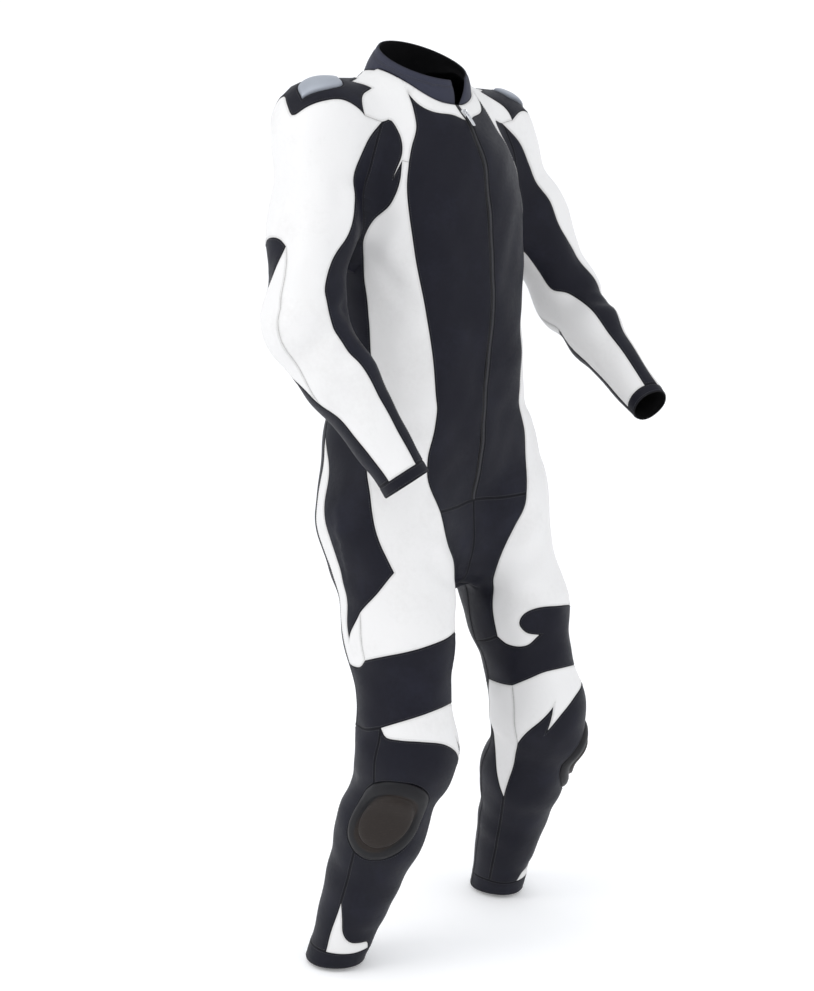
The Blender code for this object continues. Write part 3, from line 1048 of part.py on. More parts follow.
def plate(loops, thickness):
    """A flat plate from loops of (across, along), as vertices and faces about its middle."""
    uv = np.vstack(loops)
    faces = triangles(uv, loops)
    flat = np.c_[uv, np.zeros(len(uv))]
    a, b, c = flat[faces[0]]
    if np.cross(b - a, c - a)[2] < 0:
        faces = faces[:, ::-1]
    return closed_sheet(flat + (0, 0, thickness / 2), flat - (0, 0, thickness / 2), faces)


def arc(centre, radius, first, last, count):
    """Points on an arc between two angles in degrees."""
    turn = np.radians(np.linspace(first, last, count))
    return np.asarray(centre) + radius * np.stack([np.cos(turn), np.sin(turn)], axis=-1)


def slider_mesh():
    """The slider's body, seen square on: wider at its upper end, with rounded corners."""
    wide, long, soft = SLIDER_WIDE / 2, SLIDER_LONG / 2, SLIDER_CORNER
    foot = wide * SLIDER_FOOT
    outline = np.vstack([arc((wide - soft, long - soft), soft, 0, 90, 4),
                         arc((-wide + soft, long - soft), soft, 90, 180, 4),
                         arc((-foot + soft, -long + soft), soft, 180, 270, 4),
                         arc((foot - soft, -long + soft), soft, 270, 360, 4)])
    return plate([outline], SLIDER_THICK)


def bridge_mesh():
    """The arch of wire over the slider that carries the pull tab."""
    rings = []
    turns = np.linspace(0, math.pi, 13)
    for turn in turns:
        centre = np.array([0.0, BRIDGE_HALF * math.cos(turn),
                           SLIDER_THICK / 2 - BRIDGE_SUNK + BRIDGE_RISE * math.sin(turn)])
        along = unit(np.array([0.0, -BRIDGE_HALF * math.sin(turn), BRIDGE_RISE * math.cos(turn)]))
        cross = np.cross((1.0, 0.0, 0.0), along)
        rings.append([centre + BRIDGE_WIRE * (np.array([math.cos(a), 0, 0]) + cross * math.sin(a))
                      for a in np.linspace(0, 2 * math.pi, 8, endpoint=False)])
    verts = np.array(rings).reshape(-1, 3)
    faces = [(8 * k + i, 8 * k + (i + 1) % 8, 8 * k + 8 + (i + 1) % 8, 8 * k + 8 + i)
             for k in range(len(turns) - 1) for i in range(8)]
    return verts, faces + [tuple(range(7, -1, -1)), tuple(range(len(verts) - 8, len(verts)))]


def tab_mesh():
    """The pull tab, flat, with its bar at the origin and its grip along -Y."""
    soft, end, low = TAB_CORNER, TAB_END, TAB_BAR - TAB_LONG
    outline = np.vstack([arc((TAB_NECK - soft, TAB_BAR - soft), soft, 0, 90, 4),
                         arc((-TAB_NECK + soft, TAB_BAR - soft), soft, 90, 180, 4),
                         [(-TAB_WAIST, TAB_WAIST_AT)],
                         arc((-TAB_GRIP + end, low + end), end, 180, 270, 5),
                         arc((TAB_GRIP - end, low + end), end, 270, 360, 5),
                         [(TAB_WAIST, TAB_WAIST_AT)]])
    w, top, foot, turn = TAB_WINDOW_WIDE / 2, -TAB_BAR, -TAB_BAR - TAB_WINDOW_LONG, TAB_WINDOW_CORNER
    window = np.vstack([arc((w - turn, top - turn), turn, 0, 90, 4),
                        arc((-w + turn, top - turn), turn, 90, 180, 4),
                        arc((-w + turn, foot + turn), turn, 180, 270, 4),
                        arc((w - turn, foot + turn), turn, 270, 360, 4)])
    return plate([outline, window], TAB_THICK)


def union(name, first, second, finish, collection):
    """One object from two overlapping closed meshes."""
    made = add(name, *first, finish, collection)
    tool = add(name + "_tool", *second, finish, collection)
    join = made.modifiers.new("join", "BOOLEAN")
    join.operation, join.solver, join.object = "UNION", "EXACT", tool
    bpy.context.view_layer.update()
    solid = bpy.data.meshes.new_from_object(
        made.evaluated_get(bpy.context.evaluated_depsgraph_get()))
    made.modifiers.clear()
    made.data = solid
    bpy.data.objects.remove(tool)
    return made


def hang(mesh, axes, at):
    """A mesh moved from its own axes to the suit's."""
    verts, faces = mesh
    basis = np.array(axes, float)
    if np.linalg.det(basis) < 0:
        faces = [face[::-1] for face in faces]
    return np.asarray(verts) @ basis + at, faces


# ---------------------------------------------------------------- the suit
def side_parts(side, collection):
    """Every leather piece and hard cup of one side; returns its seams."""
    chart = maps(side)
    nodes = node_points(chart)
    seams = {name: seam_line(name, chart, nodes, SEAM_STEP) for name in SEAMS}
    for name, (way, about, text, holes, fineness, finish) in PIECES.items():
        loops = [loop_points(text, seams)] + ([loop_points(holes, seams)] if holes else [])
        verts, faces = piece_mesh(chart[way], loops, about, CLOTH_STEP * fineness)
        add(f"{name}_{WHO[side]}", verts, faces, finish, collection)
    for name, (way, about, text, profile, finish) in BOSS.items():
        verts, faces = boss_mesh(chart[way], loop_points(text, seams), about, profile)
        add(f"{name}_{WHO[side]}", verts, faces, finish, collection)
    return seams


def centre_parts(seams, collection):
    """The pieces that cross the middle: gusset, collar and zip."""
    right, left = seams[-1], seams[1]
    gusset = joined([left["gusset_front"], left["gusset_back"], right["gusset_back"][::-1],
                     right["gusset_front"][::-1]])
    add("crotch_gusset", *piece_mesh(Straight(1, "down"), [gusset], 0, CLOTH_STEP * 0.5),
        "black", collection)
    half = [np.vstack([s["neck_front"], s["neck_rear"][1:], s["neck_nape"][1:]])
            for s in (right, left)]
    base = np.vstack([half[0], half[1][::-1][1:]])
    turn = np.degrees(np.arctan2(base[:, 0] / Neck.half, (Neck.centre - base[:, 1]) / Neck.depth))
    turn[:len(half[0])] = -np.abs(turn[:len(half[0])])
    add("collar", *collar_mesh(base, turn), "collar", collection)
    edge = np.vstack([left["zip_top"], left["zip_edge"][1:]])
    add("zip", *zip_mesh(edge), "zip", collection)


def slider_parts(collection):
    """The zip slider, and its pull tab on a joint under the slider's bridge."""
    point, out, up = zip_frame(SLIDER_Z)
    across = np.array([1.0, 0.0, 0.0])
    centre = point + out * (SLIDER_LIFT + SLIDER_THICK / 2)
    axes = (across, up, np.cross(across, up))
    if axes[2] @ out < 0:
        axes = (-across, up, out)
    slider = union("zip_slider", slider_mesh(), bridge_mesh(), "metal", collection)
    basis = np.array(axes)
    slider.data.transform(Matrix([[*basis[:, r], centre[r]] for r in range(3)] + [[0, 0, 0, 1]]))
    pin = centre + out * (SLIDER_THICK / 2 + TAB_AXIS)
    tilt = math.cos(TAB_TILT) * up + math.sin(TAB_TILT) * out
    face = math.cos(TAB_TILT) * out - math.sin(TAB_TILT) * up
    verts, faces = hang(tab_mesh(), (axes[0], tilt, face), pin)
    add("zip_pull_tab", verts, faces, "metal", collection, at=pin)


def main():
    for old in list(bpy.data.objects):
        bpy.data.objects.remove(old, do_unlink=True)
    collection = bpy.data.collections.new(SUIT_NAME)
    bpy.context.scene.collection.children.link(collection)
    seams = {side: side_parts(side, collection) for side in (-1, 1)}
    centre_parts(seams, collection)
    slider_parts(collection)


main()
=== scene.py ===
"""Motorcycle race suit: leather panels, sewing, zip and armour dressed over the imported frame.

The leather is the area inside loops of seams drawn on one smooth surface, `gap(p) = 0`: a torso
of superelliptic sections joined softly to tapered limbs, with folds and creases pressed into it.
Frame: metres, +Z up, the suit faces -Y, its wearer's left arm is on +X.
"""
import logging
import math
from dataclasses import dataclass, field
from enum import Enum
from typing import Any, Iterable, Sequence

import bmesh
import bpy
import numpy as np
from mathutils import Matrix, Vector
from mathutils.geometry import delaunay_2d_cdt


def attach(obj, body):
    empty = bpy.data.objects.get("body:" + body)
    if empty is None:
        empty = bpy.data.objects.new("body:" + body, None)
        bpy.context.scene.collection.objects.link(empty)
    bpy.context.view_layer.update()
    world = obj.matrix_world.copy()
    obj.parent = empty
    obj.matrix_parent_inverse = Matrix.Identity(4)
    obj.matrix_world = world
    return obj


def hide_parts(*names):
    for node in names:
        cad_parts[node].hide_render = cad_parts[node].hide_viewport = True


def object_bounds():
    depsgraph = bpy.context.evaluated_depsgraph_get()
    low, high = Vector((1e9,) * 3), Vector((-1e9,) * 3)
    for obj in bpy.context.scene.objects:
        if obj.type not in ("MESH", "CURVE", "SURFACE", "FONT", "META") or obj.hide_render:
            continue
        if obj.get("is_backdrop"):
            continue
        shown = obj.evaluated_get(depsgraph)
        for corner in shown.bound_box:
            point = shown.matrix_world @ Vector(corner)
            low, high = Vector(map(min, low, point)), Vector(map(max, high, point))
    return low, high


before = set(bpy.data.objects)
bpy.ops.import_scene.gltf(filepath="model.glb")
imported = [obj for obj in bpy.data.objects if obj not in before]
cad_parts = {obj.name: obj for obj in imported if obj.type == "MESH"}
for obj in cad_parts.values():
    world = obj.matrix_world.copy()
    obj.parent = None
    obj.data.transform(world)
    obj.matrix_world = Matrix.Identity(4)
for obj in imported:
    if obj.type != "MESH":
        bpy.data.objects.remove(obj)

LOG = logging.getLogger("race_suit")
CAD_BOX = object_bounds()
Array = np.ndarray

# ---------------------------------------------------------------- driving sizes (metres)
LEATHER = 0.0020            # thickness of a leather panel
SEAM_GAP = 0.0003           # clear distance between two panels at a seam
SEAM_LEAN = -0.00012        # added to half the gap at a panel's foot: panels lean together there
SEAM_STEP = 0.0060          # distance between points along a seam
LOOK_AHEAD = 0.001          # distance over which the way of a line is read
FAR = 9.0                   # farther than anything in the suit
CLOTH_STEP = 0.0080         # distance between points inside a panel
EDGE_ROWS = (0.0012, 0.0032)    # rows of points that follow each border
EDGE_ROLL = 0.0007          # how far a panel's edge turns down into its seam
EDGE_SOFT = 0.0013          # width over which it turns
ZIP_HALF = 0.0040           # half the width of the zip's chain and tape
FLY_Z = -0.575              # foot of the zip
ZIP_EDGE = 0.00035          # width of the broken edges of its slider and tab
CHEST_Z = -0.180            # rays are level below this height and fan upwards above it

# Joints of the figure on its left side: x outward, y backward, z up.
NECK = (0.000, 0.030, -0.002)
SHOULDER = (0.178, 0.033, -0.033)
SHOULDER_LEFT = (0.176, 0.033, -0.044)    # the left shoulder is let down a little
ELBOW = (0.283, -0.043, -0.292)
WRIST = (0.222, -0.167, -0.491)
WRIST_LEFT = (0.220, -0.249, -0.430)    # the left sleeve hangs bent a little further
HIP = (0.111, -0.026, -0.620)
THIGH = (0.130, -0.074, -0.759)
KNEE = (0.147, -0.110, -0.928)
ANKLE = (0.187, 0.008, -1.282)

# Shares of the way from one joint to the next where a limb's girths are named.
UPPER_ARM, FOREARM, PAST_WRIST = 0.50, 0.35, 1.22
SHANK, PAST_ANKLE = 0.35, 1.10

YOKE_START = 0.035          # how far from the middle each shoulder's yoke starts
NECK_RISE = 0.060           # the torso fades out above this height
CROTCH_DROP, CROTCH_BLUNT = 0.684, 14    # and is blunted below this drop, by this much
STRIP_FILL = 0.31           # least share of its rectangle that a cut piece counts as filling

# Half widths of the limbs where they are named: sideways, and front to back.
NECK_R, YOKE_R = (0.066, 0.052), (0.062, 0.061)
CAP_R = (0.057, 0.062)
BICEP_R, ELBOW_R, FOREARM_R = (0.053, 0.064), (0.050, 0.057), (0.043, 0.050)    # right sleeve
BICEP_L, ELBOW_L, FOREARM_L = (0.051, 0.060), (0.045, 0.050), (0.038, 0.041)    # left sleeve
CUFF_R = (0.032, 0.036)
CUFF_L = (0.026, 0.029)
HIP_R, THIGH_R, KNEE_R = (0.081, 0.104), (0.065, 0.083), (0.066, 0.070)
CALF_R, HEM_R = (0.058, 0.062), (0.041, 0.045)

TORSO = (  # drop, centre_y, half_width, front_depth, back_depth, power (2 round, 4 flat) in front
    (-0.060, 0.022, 0.056, 0.040, 0.064, 2.0),
    (-0.020, 0.020, 0.078, 0.066, 0.086, 2.0),
    (0.030, 0.012, 0.118, 0.106, 0.106, 2.0),
    (0.100, 0.004, 0.156, 0.128, 0.126, 2.0),
    (0.180, 0.000, 0.164, 0.134, 0.130, 2.0),
    (0.280, 0.000, 0.158, 0.138, 0.126, 2.0),
    (0.400, 0.000, 0.152, 0.127, 0.128, 2.6),
    (0.500, -0.012, 0.180, 0.106, 0.142, 3.2),
    (0.590, -0.024, 0.195, 0.080, 0.142, 2.8),
    (0.645, -0.030, 0.160, 0.072, 0.114, 2.4),
    (0.690, -0.034, 0.092, 0.056, 0.078, 2.2),
    (0.735, -0.038, 0.034, 0.036, 0.046, 2.0),
)
YOKE_REACH, ARM_REACH, LEG_REACH, CROTCH_REACH = 0.050, 0.045, 0.055, 0.060
SLEEVE_REACH, SHANK_REACH = 0.030, 0.035

# Folds: x, y, z of the middle, x, y, z of its run, half length, half width, push (- is in)
FOLDS = (
    (-0.283, -0.090, -0.281, 1.0, 0.1, 0.3, 0.034, 0.015, -0.0065),     # crook of the right elbow
    (-0.272, -0.086, -0.246, 1.0, 0.0, 0.5, 0.028, 0.012, -0.0040),
    (0.280, -0.088, -0.290, 1.0, -0.1, -0.2, 0.032, 0.016, -0.0070),    # crook of the left elbow
    (0.276, -0.098, -0.322, 1.0, 0.0, -0.5, 0.026, 0.012, -0.0040),
    (-0.147, -0.040, -0.925, 1.0, 0.0, 0.1, 0.046, 0.019, -0.0080),     # back of the right knee
    (-0.142, -0.026, -0.880, 1.0, 0.1, -0.3, 0.034, 0.015, -0.0045),
    (0.149, -0.040, -0.932, 1.0, 0.0, -0.1, 0.044, 0.018, -0.0080),     # back of the left knee
    (0.152, -0.030, -0.978, 1.0, 0.0, 0.3, 0.036, 0.016, -0.0045),
    (-0.086, -0.122, -0.612, 0.8, 0.0, -0.5, 0.060, 0.018, -0.0060),    # groins
    (0.083, -0.120, -0.622, 0.8, 0.0, 0.6, 0.056, 0.018, -0.0060),
    (-0.150, 0.010, -0.425, 0.1, 1.0, 0.2, 0.060, 0.021, -0.0070),      # waist
    (0.151, 0.000, -0.440, 0.1, 1.0, -0.2, 0.056, 0.020, -0.0060),
    (0.015, 0.124, -0.432, 1.0, 0.0, 0.1, 0.085, 0.022, -0.0060),       # small of the back
    (-0.030, 0.128, -0.385, 1.0, 0.0, -0.2, 0.060, 0.018, -0.0035),
    (-0.140, -0.094, -0.205, 0.5, 0.2, 0.8, 0.050, 0.017, -0.0050),     # front of the armpits
    (0.138, -0.096, -0.200, -0.5, 0.2, 0.8, 0.046, 0.017, -0.0050),
    (0.174, -0.160, -0.992, 0.0, 0.3, 1.0, 0.034, 0.038, 0.0150),       # the left knee stands out
    (-0.074, -0.122, -0.706, 0.1, 0.0, 1.0, 0.030, 0.036, 0.0135),      # full inner thighs
    (0.074, -0.122, -0.706, -0.1, 0.0, 1.0, 0.030, 0.036, 0.0135),
)

# Finer creases in the same columns. Each middle is moved onto the surface first, and the
# surface's maps don't see them, so seams stay put.
CREASES = (
    # right sleeve: long soft drags from the cap, and short ones round the elbow
    (-0.232, -0.035, -0.150, -0.25, -0.05, -1.0, 0.081, 0.0153, -0.0048),
    (-0.212, -0.046, -0.128, -0.30, 0.10, -1.0, 0.060, 0.0145, 0.0035),
    (-0.262, -0.020, -0.190, -0.30, 0.00, -1.0, 0.069, 0.0170, -0.0035),
    (-0.300, 0.005, -0.230, -0.20, 0.30, -1.0, 0.046, 0.0153, -0.0033),
    (-0.331, -0.055, -0.268, 0.30, 0.80, -0.5, 0.039, 0.0127, -0.0040),
    (-0.325, -0.085, -0.310, 0.40, 0.70, -0.4, 0.034, 0.0119, 0.0031),
    (-0.300, -0.110, -0.300, 0.90, 0.10, 0.3, 0.030, 0.0119, -0.0053),
    (-0.276, -0.122, -0.333, 0.90, 0.10, -0.2, 0.034, 0.0127, -0.0044),
    (-0.300, -0.150, -0.372, 0.60, -0.30, -0.6, 0.039, 0.0136, -0.0031),
    (-0.250, -0.100, -0.268, 0.80, 0.00, 0.5, 0.025, 0.0110, -0.0048),
    # left sleeve
    (0.236, -0.040, -0.165, 0.30, -0.10, -1.0, 0.069, 0.0153, -0.0040),
    (0.262, -0.052, -0.225, 0.35, 0.10, -1.0, 0.046, 0.0136, -0.0035),
    (0.302, -0.102, -0.300, 0.90, 0.10, -0.2, 0.028, 0.0110, -0.0048),
    (0.262, -0.118, -0.322, 0.90, 0.00, -0.3, 0.030, 0.0119, -0.0053),
    (0.275, -0.150, -0.350, 0.80, -0.20, -0.5, 0.032, 0.0119, -0.0031),
    (0.318, -0.020, -0.270, 0.20, 0.80, -0.4, 0.034, 0.0136, -0.0031),
    # armpits and chest
    (-0.158, -0.078, -0.238, 0.35, -0.55, -0.8, 0.052, 0.0145, -0.0048),
    (-0.150, -0.052, -0.275, 0.20, -0.80, -0.6, 0.057, 0.0153, -0.0035),
    (0.152, -0.070, -0.245, -0.35, -0.50, -0.8, 0.048, 0.0145, -0.0044),
    (-0.062, -0.130, -0.185, 0.50, 0.00, -0.85, 0.086, 0.0204, -0.0026),
    (0.058, -0.130, -0.200, -0.40, 0.00, -0.90, 0.081, 0.0204, -0.0024),
    (-0.030, -0.136, -0.330, 0.20, 0.00, -1.0, 0.098, 0.0187, -0.0022),
    # waist, belly and groin
    (-0.128, -0.085, -0.455, 0.90, -0.40, 0.25, 0.057, 0.0145, -0.0044),
    (-0.138, -0.060, -0.398, 0.70, -0.70, -0.2, 0.051, 0.0136, -0.0035),
    (0.126, -0.085, -0.448, 0.90, 0.40, -0.2, 0.053, 0.0145, -0.0040),
    (-0.048, -0.112, -0.545, 0.90, 0.00, -0.35, 0.069, 0.0170, -0.0031),
    (0.052, -0.110, -0.552, 0.90, 0.00, 0.40, 0.063, 0.0170, -0.0031),
    (-0.110, -0.115, -0.660, 0.70, 0.00, -0.6, 0.053, 0.0145, -0.0044),
    (-0.132, -0.105, -0.700, 0.80, 0.00, -0.4, 0.046, 0.0136, -0.0031),
    (0.112, -0.115, -0.668, 0.70, 0.00, 0.6, 0.051, 0.0145, -0.0044),
    (0.078, -0.085, -0.722, 0.60, 0.30, 0.7, 0.041, 0.0136, -0.0031),
    (-0.078, -0.080, -0.715, 0.60, -0.30, -0.7, 0.044, 0.0136, -0.0033),
    # knees and calves
    (-0.098, -0.095, -0.865, 0.10, 0.90, 0.3, 0.039, 0.0127, -0.0044),
    (-0.100, -0.085, -0.985, 0.10, 0.90, -0.3, 0.041, 0.0136, -0.0040),
    (-0.196, -0.085, -0.895, 0.10, 0.90, 0.2, 0.041, 0.0136, -0.0040),
    (-0.200, -0.055, -0.972, 0.10, 0.90, -0.2, 0.037, 0.0127, -0.0040),
    (-0.150, -0.022, -1.010, 0.90, 0.10, -0.2, 0.046, 0.0136, -0.0048),
    (0.102, -0.092, -0.875, 0.10, 0.90, -0.2, 0.039, 0.0127, -0.0040),
    (0.104, -0.080, -0.972, 0.10, 0.90, 0.3, 0.039, 0.0136, -0.0040),
    (0.198, -0.080, -0.905, 0.10, 0.90, -0.2, 0.041, 0.0136, -0.0035),
    (0.154, -0.018, -0.895, 0.90, 0.10, 0.3, 0.046, 0.0136, -0.0048),
    (0.160, 0.040, -1.120, 0.70, 0.00, -0.7, 0.051, 0.0153, -0.0026),
    (-0.160, 0.040, -1.105, 0.70, 0.00, 0.7, 0.053, 0.0153, -0.0031),
    (-0.182, -0.040, -1.215, 0.90, -0.20, -0.1, 0.039, 0.0127, -0.0026),
    (0.186, -0.035, -1.225, 0.90, 0.20, 0.1, 0.039, 0.0127, -0.0026),
    # back and seat
    (-0.070, 0.120, -0.250, 0.50, 0.00, -0.85, 0.081, 0.0187, -0.0035),
    (0.074, 0.120, -0.262, -0.50, 0.00, -0.85, 0.076, 0.0187, -0.0033),
    (0.010, 0.128, -0.360, 1.00, 0.00, -0.10, 0.081, 0.0170, -0.0040),
    (-0.020, 0.126, -0.470, 1.00, 0.00, 0.12, 0.092, 0.0170, -0.0044),
    (-0.090, 0.100, -0.600, 0.80, 0.00, 0.5, 0.057, 0.0170, -0.0040),
    (0.094, 0.100, -0.612, 0.80, 0.00, -0.5, 0.057, 0.0170, -0.0040),
    (-0.120, 0.030, -0.700, 0.90, 0.20, 0.3, 0.055, 0.0153, -0.0040),
    (0.124, 0.030, -0.708, 0.90, -0.20, -0.3, 0.053, 0.0153, -0.0040),
)
# Soft unevenness of hand-cut leather: direction of each wave, its length and its height.
WAVES = (
    ((0.8, 0.3, 0.5), 0.093, 0.00080), ((-0.5, 0.8, 0.35), 0.071, 0.00070),
    ((0.2, -0.6, 0.9), 0.058, 0.00050), ((0.9, -0.4, -0.6), 0.041, 0.00030),
)


# ---------------------------------------------------------------- small geometry helpers
def hermite(a: Array, b: Array, slope_a: Array, slope_b: Array, width: Array, t: Array) -> Array:
    """The cubic from a to b over a width, with the slopes given at its ends, at a share t."""
    return (a * (1 + 2 * t) * (1 - t) ** 2 + slope_a * width * t * (1 - t) ** 2
            + b * t * t * (3 - 2 * t) + slope_b * width * t * t * (t - 1))


def rows_at(table: Sequence, x: Array) -> Array:
    """Monotone cubic through the rows of a table.

    Args:
        table: Rows whose first column is x, rising.
        x: Where the other columns are wanted.

    Returns:
        The other columns at each x.
    """
    rows = np.asarray(table, float)
    xs, ys = rows[:, 0], rows[:, 1:]
    width = np.diff(xs)
    rise = np.diff(ys, axis=0) / width[:, None]
    slope = np.zeros_like(ys)
    slope[0], slope[-1] = rise[0], rise[-1]
    before = (2 * width[1:] + width[:-1])[:, None]
    after = (width[1:] + 2 * width[:-1])[:, None]
    same = rise[:-1] * rise[1:] > 0
    safe_a, safe_b = np.where(same, rise[:-1], 1.0), np.where(same, rise[1:], 1.0)
    slope[1:-1] = np.where(same, (before + after) / (before / safe_a + after / safe_b), 0.0)
    x = np.clip(x, xs[0], xs[-1])
    i = np.clip(np.searchsorted(xs, x) - 1, 0, len(xs) - 2)
    t, w = ((x - xs[i]) / width[i])[..., None], width[i][..., None]
    return hermite(ys[i], ys[i + 1], slope[i], slope[i + 1], w, t)


def blend(a: Array, b: Array, reach: float) -> Array:
    """Soft minimum of a and b: the inside corner between two forms is rounded over reach."""
    t = np.clip(0.5 + 0.5 * (b - a) / reach, 0.0, 1.0)
    return b * (1 - t) + a * t - reach * t * (1 - t)


def smooth(t: Array) -> Array:
    """Smooth step 3t^2 - 2t^3 of values held between 0 and 1."""
    t = np.clip(t, 0.0, 1.0)
    return t * t * (3 - 2 * t)


def unit(v: Any) -> Array:
    """Vectors of length one."""
    v = np.asarray(v, float)
    return v / np.maximum(np.linalg.norm(v, axis=-1, keepdims=True), 1e-12)


def between(a: Any, b: Any, t: Any) -> Array:
    """The point a share t of the way from a to b."""
    return np.asarray(a, float) + (np.asarray(b, float) - np.asarray(a, float)) * t


def along_line(points: Array) -> Array:
    """Distance run from the first point of a line to each of its points."""
    return np.r_[0, np.cumsum(np.linalg.norm(np.diff(points, axis=0), axis=1))]


def resample(points: Array, where: Array) -> Array:
    """Points of a line at the distances along it that where gives."""
    run = along_line(points)
    return np.stack([np.interp(where, run, points[:, k]) for k in range(points.shape[1])], axis=-1)


# ---------------------------------------------------------------- the suit's outer surface
class Limb:
    """A round-ended length with an elliptic section that tapers from one end to the other."""

    def __init__(self, start: Any, end: Any, start_r: Any, end_r: Any, side: Any = (1, 0, 0)):
        """Set the axis, and the section's two directions square to it."""
        self.start = np.asarray(start, float)
        run = np.asarray(end, float) - self.start
        self.length = np.linalg.norm(run)
        self.along = run / self.length
        self.side = unit(np.asarray(side, float) - self.along * self.along[np.argmax(side)])
        self.deep = np.cross(self.along, self.side)
        self.start_r, self.end_r = np.asarray(start_r), np.asarray(end_r)

    def __call__(self, p: Array) -> Array:
        """Size of the ellipsoid through p less one, times the section's mean half width."""
        w = p - self.start
        t = w @ self.along
        inside = np.clip(t, 0.0, self.length)
        share = smooth(inside / self.length)[..., None]
        r = self.start_r + (self.end_r - self.start_r) * share
        mean = r.mean(axis=-1)
        size = np.sqrt((w @ self.side / r[..., 0]) ** 2 + (w @ self.deep / r[..., 1]) ** 2
                       + ((t - inside) / mean) ** 2)
        return (size - 1.0) * mean


def chain(points: Sequence, radii: Sequence) -> list[Limb]:
    """The lengths of a limb through its points."""
    return [Limb(points[i], points[i + 1], radii[i], radii[i + 1]) for i in range(len(points) - 1)]


def pressed(p: Array, table: Sequence) -> Array:
    """Sum over folds of push * exp(-(t / length)^2 - (across / width)^2), t along the run."""
    push = np.zeros(p.shape[:-1])
    for x, y, z, ax, ay, az, length, width, depth in table:
        w = p - (x, y, z)
        t = w @ unit((ax, ay, az))
        across = (w * w).sum(-1) - t * t
        push += depth * np.exp(-(t / length) ** 2 - across / width ** 2)
    return push


